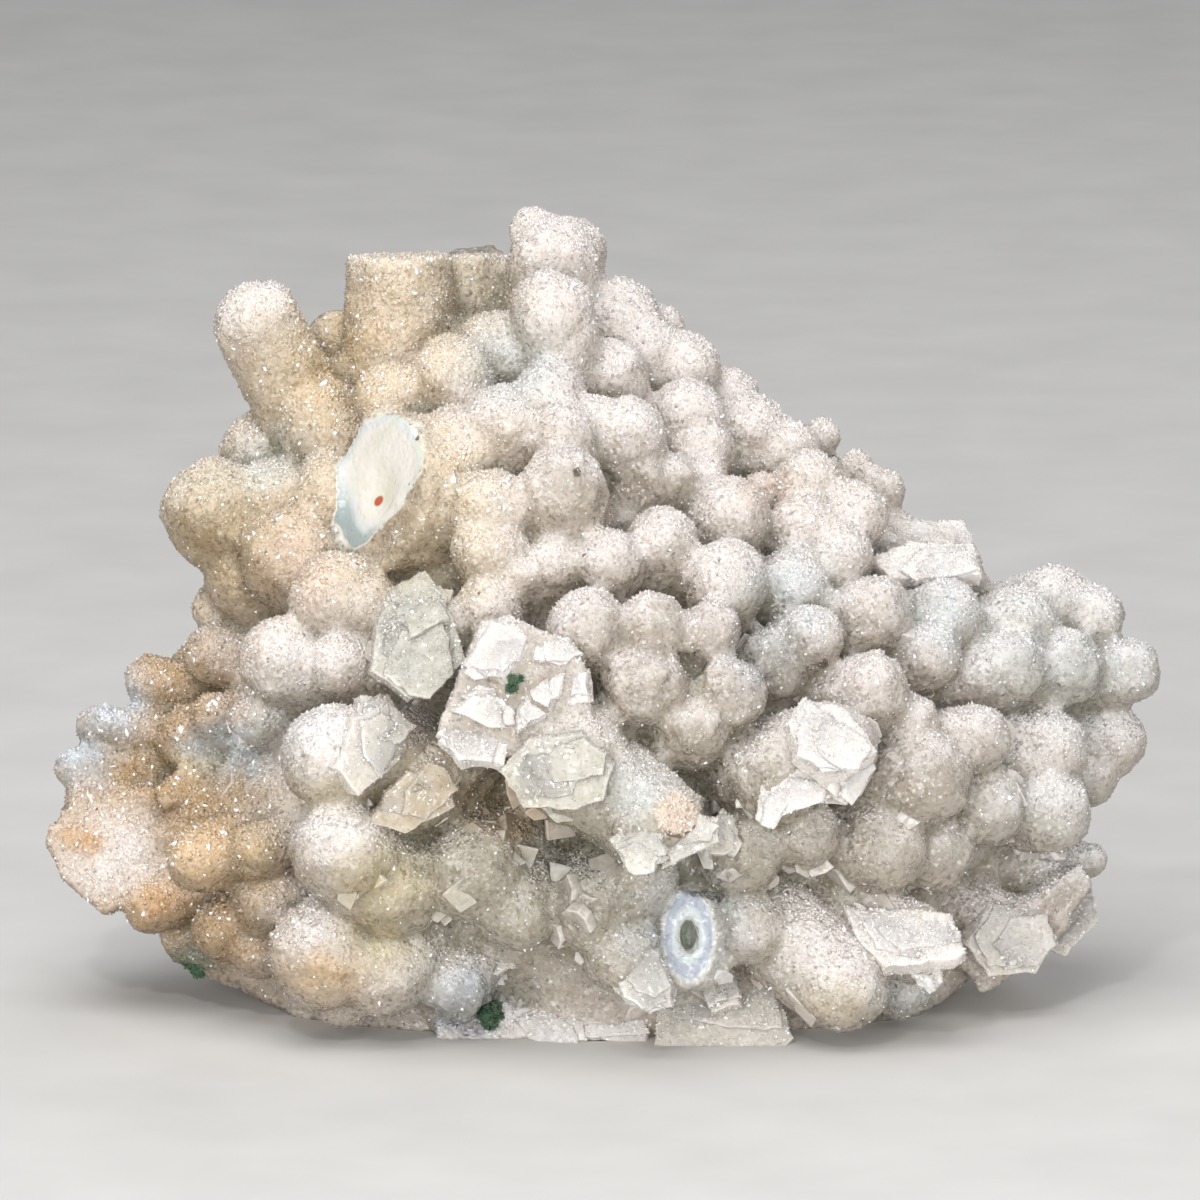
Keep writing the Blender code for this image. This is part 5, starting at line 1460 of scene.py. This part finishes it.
class GrowStone(bpy.types.Operator):
    """Builds the chalcedony: one skin over the mound and its knobs, with its colours and coverings"""

    bl_idname = "specimen.grow_stone"
    bl_label = "Grow the stone"

    def execute(self, context):
        looks, sizes = context.scene.specimen_looks, context.scene.specimen_sizes
        skin = stone_mesh(sizes)
        points = world_to_face(points_of(skin))
        normals = normals_of(skin) @ FACE_AXES.T
        openness = openness_of(skin, 60)
        druse_and_top_light = sugar_and_top_light_at(points, normals, openness)
        tone = tones_at(points, openness, druse_and_top_light, looks)
        patch = smooth_step(spots_at(points, [PALE_PATCH]), 0.4, 0.55)[:, None]
        set_attribute(skin, "tone", "FLOAT_COLOR", towards(tone, looks.beige, patch))
        # The sugar attribute takes the druse share with its painted top light and shade of the crevices on to
        # the grains.
        set_attribute(skin, "sugar", "FLOAT", druse_and_top_light)
        set_attribute(skin, "cut", "FLOAT", cut_share(points))
        place = (points[:, :2] - (AGATE_COLUMN.across, AGATE_COLUMN.up)) / AGATE_COLUMN.radius
        set_attribute(skin, "crescent", "FLOAT", smooth_step(place @ CRESCENT_SIDE, 0.1, 0.6))
        behind_eye = face_depth(AGATE_EYE.across, AGATE_EYE.up)[0] - EYE_REACH - points[:, 2]
        set_attribute(skin, "eye", "FLOAT", eye_share(points) + np.maximum(0, behind_eye))
        for name, spots in (("red", [RED_SPOT]), ("speck", DARK_SPECKS)):
            set_attribute(skin, name, "FLOAT", spots_at(points, spots))
        for polygon in skin.polygons:
            polygon.use_smooth = True
        piece = piece_of("chalcedony_skin", skin, stone_material(looks))
        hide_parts("chalcedony")
        return {"FINISHED"}


# How far behind the front of the stone a spot may still lie, in millimetres.
SPOT_REACH = 9.0


def spots_at(points, spots):
    """1 in the middle of each small spot, 0.5 at its edge, 0 outside it."""
    total = np.zeros(len(points))
    ragged = 1 + 0.35 * noise_at(points, 1.6, 31)
    for spot in spots:
        away = np.hypot(points[:, 0] - spot.across, points[:, 1] - spot.up) / (spot.radius * ragged)
        front = points[:, 2] > knob_surface_depth(spot.across, spot.up)[0] - SPOT_REACH
        total = np.maximum(total, np.where(front, np.clip(1 - 0.5 * away, 0, 1), 0))
    return total


def sugar_and_top_light_at(points, normals, openness):
    """How thickly druse covers each point: most on upward sides and less in crevices, partly painted top
    light and shade; thin on glassy knobs, none on breaks or behind.
    """
    across, up, out = points.T
    warp = warp_at(points)
    # Painted top light and painted shade: the druse share, and with it the stone's whiteness, rises on sides
    # facing up and out and falls in crevices.
    facing = smooth_step(0.85 * normals[:, 1] + 0.5 * normals[:, 2] + 0.15 * warp[:, 1], -0.35, 1.0)
    druse_and_top_light = facing * (1 - 0.8 * smooth_step(-openness, 0.5, 1.6))
    glassy = covered(GLASSY_AND_SHADED, across, up, warp)
    # Glassy knobs keep more druse on their upper sides: painted top light too.
    upper = smooth_step(normals[:, 1] + 0.5 * warp[:, 0], 0.15, 0.75)
    druse_and_top_light *= 1 - glassy * (1 - 0.75 * upper)
    druse_and_top_light *= 1 - smooth_step(-out, REAR_START - 2.0, REAR_FULL - 2.0)
    for share in (cut_share(points), disc_share(points, EYE_COLUMN)):
        druse_and_top_light *= smooth_step(share, 0.92, 1.1)
    druse_and_top_light = np.maximum(druse_and_top_light, smooth_step(spots_at(points, [PALE_PATCH]), 0.4, 0.55))
    return np.clip(druse_and_top_light, 0, 1)


class GrowStilbite(bpy.types.Operator):
    """Builds the clusters of stilbite and the shards of the big break, each as plates grown together"""

    bl_idname = "specimen.grow_stilbite"
    bl_label = "Grow the stilbite"

    def execute(self, context):
        looks = context.scene.specimen_looks
        material = stilbite_material(looks, "pearly_stilbite")
        grounds = {"break_shards": flat_depth(BIG_BREAK, face_depth), "foot_rim": flat_depth(FOOT_WALL)}
        bodies = {
            "stilbite_brown_plates": looks.stilbite_brown,
            "stilbite_skirt": looks.stilbite_glassy,
            "stilbite_platy_knob": looks.stilbite_glassy,
        }
        for name in WHITE_CLUSTERS:
            bodies[name] = looks.stilbite_pearl
        clusters = {**STILBITE, "break_shards": BREAK_SHARDS, "foot_rim": FOOT_RIM}
        for seed, (name, plates) in enumerate(clusters.items()):
            dice = np.random.default_rng(STILBITE_SEED + seed)
            mesh = cluster_mesh(name + "_crystals", plates, grounds.get(name), dice)
            share = 0.7 if name in bodies else 0.5
            dress_cluster(mesh, looks, bodies.get(name, looks.stilbite_body), share)
            piece = piece_of(name + "_crystals", mesh, material)
            if name in STILBITE:
                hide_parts(name)
        return {"FINISHED"}


class GrowTablets(bpy.types.Operator):
    """Sets small flat crystals on the lower knobs, lying along them, and in fringes round the knobs' tips"""

    bl_idname = "specimen.grow_tablets"
    bl_label = "Grow the tablets"

    def execute(self, context):
        looks, sizes = context.scene.specimen_looks, context.scene.specimen_sizes
        dice = np.random.default_rng(TABLET_SEED)
        skin = bpy.data.objects["chalcedony_skin"].data
        points = world_to_face(points_of(skin))
        normals = normals_of(skin) @ FACE_AXES.T
        weight = covered(TABLET_ZONES, points[:, 0], points[:, 1], warp_at(points))
        weight *= smooth_step(normals[:, 2], -0.2, 0.3)
        for column in (EYE_COLUMN, AGATE_COLUMN):
            weight *= smooth_step(disc_share(points, column), 0.9, 1.1)
        weight *= 1 - spots_at(points, [PALE_PATCH])
        place, normal, _, _ = scattered(skin, weight, sizes.tablets, dice)
        scatter = Tablets()
        size = 0.5 * sizes.tablet_size / MM * dice.lognormal(-0.15, 0.38, sizes.tablets)
        facing = tilted(normal @ FACE_AXES.T, 0.3, dice)
        for spot, way, reach in zip(world_to_face(place), facing, size):
            scatter.add(spot, way, reach, dice.uniform(-0.25, 0.08), TABLET_SUNK, dice)
        scatter.build("loose_tablets", looks)
        fringe = Tablets()
        for skirt in SKIRTS:
            add_skirt(fringe, skirt, dice)
        fringe.build("fringing_tablets", looks)
        return {"FINISHED"}


# The crystals that fringe the knobs: the share of each skirt's count that grows, how much of its size each
# has, how far they lean out of the knob's own direction towards the viewer and how deep they are set.
SKIRT_COUNT = 0.42
SKIRT_SIZE = 0.68
SKIRT_LEAN = 1.2
SKIRT_SUNK = 0.35
TABLET_SUNK = 1.2
TABLET_BEVEL = 0.07


def nearest_knob(across, up):
    """The knob whose tip is nearest to a place on the face."""
    return min(TIPS, key=lambda knob: math.hypot(knob.across - across, knob.up - up))


def add_skirt(scatter, skirt, dice):
    """Flat crystals round a knob, square to its length, that stand out from its side in an arc."""
    knob = nearest_knob(skirt.across, skirt.up)
    tip = TIPS[knob]
    axis = (tip - root_of(knob, tip)).normalized()
    axis = (axis + Vector((0, 0, SKIRT_LEAN))).normalized()
    for _ in range(int(SKIRT_COUNT * skirt.count)):
        angle = math.radians(dice.uniform(skirt.start, skirt.end))
        side = Vector((math.cos(angle), math.sin(angle), 0.0))
        side = (side - axis * side.dot(axis)).normalized()
        along = dice.uniform(-0.35, skirt.reach)
        bulge = math.sqrt(max(0.05, 1 - along**2)) if along < 0 else 1.0
        size = SKIRT_SIZE * skirt.size * dice.lognormal(0, 0.25)
        away = knob.radius * bulge * 1.04 - size * dice.uniform(0.1, 0.55)
        spot = tip - axis * knob.radius * along + side * away
        way = np.array(axis + side * dice.uniform(-0.2, 0.55)) + 0.16 * dice.normal(size=3)
        way /= np.linalg.norm(way)
        scatter.add(np.array(spot), way, size, 0.5 * dice.uniform(0.3, 0.8), SKIRT_SUNK, dice)


class Tablets:
    """Small flat crystals gathered for one piece."""

    def __init__(self):
        self.form = Form()
        self.rims = []

    def add(self, spot, facing, size, proud, sunk, dice):
        if face_to_world([spot])[0][2] < (size + 0.2) * MM:
            return
        count = dice.integers(4, 8)
        even = np.arange(count) * 2 * math.pi / count
        turns = np.sort(dice.uniform(0, 2 * math.pi, count)) * 0.35 + 0.65 * even
        wide, high = size * dice.uniform(0.75, 1.15), size * dice.uniform(0.6, 1.0)
        flat = np.column_stack((wide * np.cos(turns), high * np.sin(turns)))
        flat *= dice.uniform(0.7, 1.1, (count, 1))
        add_tablet(self.form, self.rims, flat, spot, facing, dice.uniform(0, 2 * math.pi), proud, sunk)

    def build(self, name, looks):
        mesh = self.form.mesh(name)
        points = world_to_face(points_of(mesh))
        tone = tones_at(points, np.zeros(len(points)), 0.4, looks)
        set_attribute(mesh, "rim", "FLOAT", self.rims)
        set_attribute(mesh, "tone", "FLOAT_COLOR", tone)
        piece_of(name, mesh, stilbite_material(looks, name + "_finish"))


def add_tablet(form, rims, outline, spot, facing, turn, proud, sunk):
    """A small plate on any ground: its outline laid square to a direction, standing a little proud."""
    axis = Vector(facing.tolist())
    frame_of = np.array((axis.to_track_quat("Z", "Y").to_matrix() @ Matrix.Rotation(turn, 3, "Z")))
    local = Form()
    upright = np.array((0.0, 0.0, 1.0))
    add_lamella(local, rims, outline, np.zeros(3), upright, (0.0, 0.0), -proud, sunk, TABLET_BEVEL)
    form.add(local.points[0] @ frame_of.T + spot, local.faces)


class GrowCeladonite(bpy.types.Operator):
    """Builds the three tufts of celadonite as dense heads of small grains"""

    bl_idname = "specimen.grow_celadonite"
    bl_label = "Grow the celadonite"

    def execute(self, context):
        looks, sizes = context.scene.specimen_looks, context.scene.specimen_sizes
        material = celadonite_material(looks)
        for seed, (name, knob) in enumerate(CELADONITE.items()):
            dice = np.random.default_rng(CELADONITE_SEED + seed)
            mesh = tuft_mesh(name + "_grains", knob, sizes.spikes, dice)
            piece = piece_of(name + "_grains", mesh, material)
            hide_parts(name)
        return {"FINISHED"}


TUFT_LOBES = 14
TUFT_STRETCH = 2.2


def tuft_mesh(name, knob, count, dice):
    """Many small grains, gathered in a few uneven lobes."""
    low, high = (world_to_face([corner])[0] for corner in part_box(name.removesuffix("_grains")))
    middle = (low + high) / 2 + np.array((0.0, 0.0, TUFT_RISE.get(name, 0.0)))
    lobes = middle + knob.radius * dice.uniform(-0.6, 0.6, (TUFT_LOBES, 3)) * (0.9, 1.1, 0.5)
    spread = knob.radius * dice.uniform(0.2, 0.42, len(lobes))
    lobe = dice.integers(0, len(lobes), count)
    way = dice.normal(size=(count, 3))
    way[:, 2] = np.abs(way[:, 2])
    way /= np.linalg.norm(way, axis=1, keepdims=True)
    foot = lobes[lobe] + way * (spread[lobe] * dice.uniform(0.3, 1.0, count))[:, None]
    way = tilted(way, 0.6, dice)
    radius = knob.radius * dice.uniform(0.05, 0.13, count)
    return spikes_mesh(name, foot, way, radius, TUFT_STRETCH, dice)


def spikes_mesh(name, foot, way, radius, stretch, dice, tones=None):
    """Closed three-sided spikes from arrays of feet, directions and sizes, as one mesh in the world."""
    side, other = frames_along(way, dice)
    count = len(foot)
    corners = []
    for step in range(3):
        angle = 2 * math.pi * step / 3
        outward = math.cos(angle) * side + math.sin(angle) * other
        corners.append(foot + radius[:, None] * (outward - 0.5 * way))
    height = radius * stretch * dice.uniform(0.7, 1.3, count)
    lean = 0.25 * radius[:, None] * dice.normal(size=(count, 3))
    corners.append(foot + way * height[:, None] + lean)
    points = np.stack(corners, axis=1).reshape(-1, 3)
    first = 4 * np.arange(count)[:, None]
    faces = np.array(((0, 1, 3), (1, 2, 3), (2, 0, 3), (0, 2, 1)))
    triangles = (first[:, :, None] + faces[None]).reshape(-1, 3)
    points = face_to_world(points)
    points[:, 2] = np.maximum(points[:, 2], 0.0)
    mesh = mesh_from_arrays(name, points, triangles)
    rim = np.tile((0.0, 0.0, 0.0, 1.0), count)
    set_attribute(mesh, "rim", "FLOAT", rim)
    if tones is not None:
        set_attribute(mesh, "tone", "FLOAT_COLOR", np.repeat(tones, 4, axis=0))
    return mesh


# The share of the druse crystals painted nearly white as glints, and the height of a crystal for its foot's
# radius.
PAINTED_GLINT_SHARE = 0.05
POINT_STRETCH = 0.65
DRUSE_PIECES = ("druse_left", "druse_middle", "druse_right")


def covered_area(mesh):
    """The area of a mesh, counted by how thickly druse covers it."""
    corners = triangles_of(mesh)
    points = points_of(mesh)
    one, two, three = (points[corners[:, index]] for index in range(3))
    area = np.linalg.norm(np.cross(two - one, three - one), axis=1)
    return (area * grain_weight(mesh)[corners].mean(axis=1)).sum()


def grain_weight(mesh):
    """How many grains a mesh's points draw: more where the druse is thick, none under the ground."""
    places = points_of(mesh)
    weight = (0.25 + values_of(mesh, "sugar") ** 1.2) * (places[:, 2] > 0.5 * MM)
    weight *= 1 - 0.97 * smooth_step(-world_to_face(places)[:, 2], REAR_START - 2.0, REAR_START)
    if "cut" in mesh.attributes:
        weight *= (values_of(mesh, "cut") > 0.97) & (values_of(mesh, "eye") > 2.7)
    return weight


def grains_on(mesh, count, looks, sizes, dice):
    """The places, directions, sizes and colours of the druse crystals on one mesh."""
    place, normal, corner, share = scattered(mesh, grain_weight(mesh), count, dice)
    tone = np.einsum("ij,ijk->ik", share, colour_attribute_of(mesh, "tone")[corner])
    place = world_to_face(place)
    coarse = covered(COARSE, place[:, 0], place[:, 1], warp_at(place))
    radius = 0.5 * sizes.grain_size / MM * dice.lognormal(0.0, 0.28, count) * (1 + 0.5 * coarse)
    sugar = np.einsum("ij,ij->i", share, values_of(mesh, "sugar")[corner])
    radius *= 0.75 + 0.25 * sugar
    sugar = sugar[:, None]
    way = tilted(normal @ FACE_AXES.T, 0.38, dice)
    lightest = tone.max(axis=1, keepdims=True)
    stain = (lightest - tone.min(axis=1, keepdims=True)) / lightest
    # Grains whiten more where the sugar is thick, so they carry its painted top light too.
    whitening = 0.6 * (0.25 + 0.75 * sugar) * np.clip(1 - 1.6 * stain, 0.15, 1) * dice.random((count, 1))
    tone *= dice.uniform(0.92, 1.08, (count, 1))
    tone = towards(tone, looks.pale_sugar, whitening)
    # Painted glints: a share of the grains is made nearly white and a little larger.
    painted_glint = dice.random(count) < PAINTED_GLINT_SHARE
    tone[painted_glint] += 0.9 * (1 - tone[painted_glint])
    radius[painted_glint] *= 1.2
    return place, way, radius, np.clip(tone, 0, 1)


class GrowDruse(bpy.types.Operator):
    """Scatters fine quartz crystals over the stone, coarse on the stained hollow and thin on glassy knobs"""

    bl_idname = "specimen.grow_druse"
    bl_label = "Grow the druse"

    def execute(self, context):
        looks, sizes = context.scene.specimen_looks, context.scene.specimen_sizes
        dice = np.random.default_rng(DRUSE_SEED)
        meshes = [item.data for item in bpy.data.objects if item.type == "MESH"]
        grounds = [mesh for mesh in meshes if "sugar" in mesh.attributes]
        share_of = np.array([covered_area(ground) for ground in grounds])
        counts = np.floor(len(DRUSE_PIECES) * sizes.grains * share_of / share_of.sum()).astype(int)
        parts = [grains_on(ground, number, looks, sizes, dice) for ground, number in zip(grounds, counts)]
        place, way, radius, tone = (np.concatenate(column) for column in zip(*parts))
        material = druse_material(looks)
        order = np.argsort(place[:, 0])
        for name, chosen in zip(DRUSE_PIECES, np.array_split(order, len(DRUSE_PIECES))):
            foot, facing, size = place[chosen], way[chosen], radius[chosen]
            mesh = spikes_mesh(name, foot, facing, size, POINT_STRETCH, dice, tone[chosen])
            piece_of(name, mesh, material)
        return {"FINISHED"}


class SetStage(bpy.types.Operator):
    """Sets the pale sweep, the soft studio lights and the camera"""

    bl_idname = "specimen.set_stage"
    bl_label = "Set the stage"

    def execute(self, context):
        scene = context.scene
        looks = scene.specimen_looks
        profile = [(FLOOR_NEAR, 0.0), (FLOOR_FAR - BEND, 0.0)]
        for step in range(1, BEND_STEPS + 1):
            angle = math.radians(90.0 / BEND_STEPS * step)
            profile.append((FLOOR_FAR - BEND + BEND * math.sin(angle), BEND - BEND * math.cos(angle)))
        profile.append((FLOOR_FAR, WALL_HEIGHT + BEND))
        points = [(side, depth, height) for depth, height in profile for side in (-FLOOR_SIDE, FLOOR_SIDE)]
        faces = [(2 * row, 2 * row + 1, 2 * row + 3, 2 * row + 2) for row in range(len(profile) - 1)]
        mesh = bpy.data.meshes.new("sweep")
        mesh.from_pydata(points, [], faces)
        for polygon in mesh.polygons:
            polygon.use_smooth = True
        mesh.materials.append(paper_material(looks))
        sweep = bpy.data.objects.new("sweep", mesh)
        scene.collection.objects.link(sweep)
        for name, place, size, power in STUDIO_LIGHTS:
            lamp = bpy.data.lights.new(name, "AREA")
            lamp.shape = "RECTANGLE"
            lamp.size, lamp.size_y = size
            lamp.energy = power
            holder = bpy.data.objects.new(name, lamp)
            holder.location = place
            holder.rotation_euler = (LIGHTS_AIM - Vector(place)).to_track_quat("-Z", "Y").to_euler()
            scene.collection.objects.link(holder)
        world = bpy.data.worlds.new("soft_room")
        world.use_nodes = True
        room = world.node_tree.nodes["Background"].inputs
        room["Color"].default_value = ROOM_COLOUR
        room["Strength"].default_value = ROOM_STRENGTH
        scene.world = world
        scene.view_settings.view_transform = "Standard"
        lens = bpy.data.cameras.new("view")
        lens.lens, lens.sensor_width, lens.clip_start = LENS, SENSOR, 0.01
        camera = bpy.data.objects.new("view", lens)
        aim = Vector(face_to_world([(0.0, CAMERA_AIM_UP, 0.0)])[0])
        back = Vector((0.0, -math.cos(FACE_LEAN), math.sin(FACE_LEAN)))
        camera.location = aim + back * CAMERA_AWAY
        camera.rotation_euler = (-back).to_track_quat("-Z", "Y").to_euler()
        scene.collection.objects.link(camera)
        scene.camera = camera
        return {"FINISHED"}


class SpecimenPanel(bpy.types.Panel):
    """Lists the steps that dress the specimen, with its sizes and colours"""

    bl_idname = "VIEW3D_PT_specimen"
    bl_label = "Specimen"
    bl_space_type = "VIEW_3D"
    bl_region_type = "UI"
    bl_category = "Specimen"

    def draw(self, context):
        column = self.layout.column(align=True)
        for step in STEPS:
            column.operator(step.bl_idname)
        for group in (context.scene.specimen_sizes, context.scene.specimen_looks):
            fields = self.layout.column()
            for name in group.bl_rna.properties.keys():
                if name not in ("rna_type", "name"):
                    fields.prop(group, name)


STEPS = [GrowStone, GrowStilbite, GrowTablets, GrowCeladonite, GrowDruse, SetStage]
CLASSES = [SpecimenLooks, SpecimenSizes, *STEPS, SpecimenPanel]


def register():
    """Makes the sizes, the colours, the steps and the panel known to Blender."""
    for item in CLASSES:
        bpy.utils.register_class(item)
    bpy.types.Scene.specimen_looks = bpy.props.PointerProperty(type=SpecimenLooks)
    bpy.types.Scene.specimen_sizes = bpy.props.PointerProperty(type=SpecimenSizes)


def unregister():
    """Takes away what register added."""
    del bpy.types.Scene.specimen_looks
    del bpy.types.Scene.specimen_sizes
    for item in reversed(CLASSES):
        bpy.utils.unregister_class(item)


def main():
    """Grows the specimen step by step."""
    register()
    bpy.ops.specimen.grow_stone()
    bpy.ops.specimen.grow_stilbite()
    bpy.ops.specimen.grow_tablets()
    bpy.ops.specimen.grow_celadonite()
    bpy.ops.specimen.grow_druse()
    bpy.ops.specimen.set_stage()


if __name__ == "__main__":
    main()
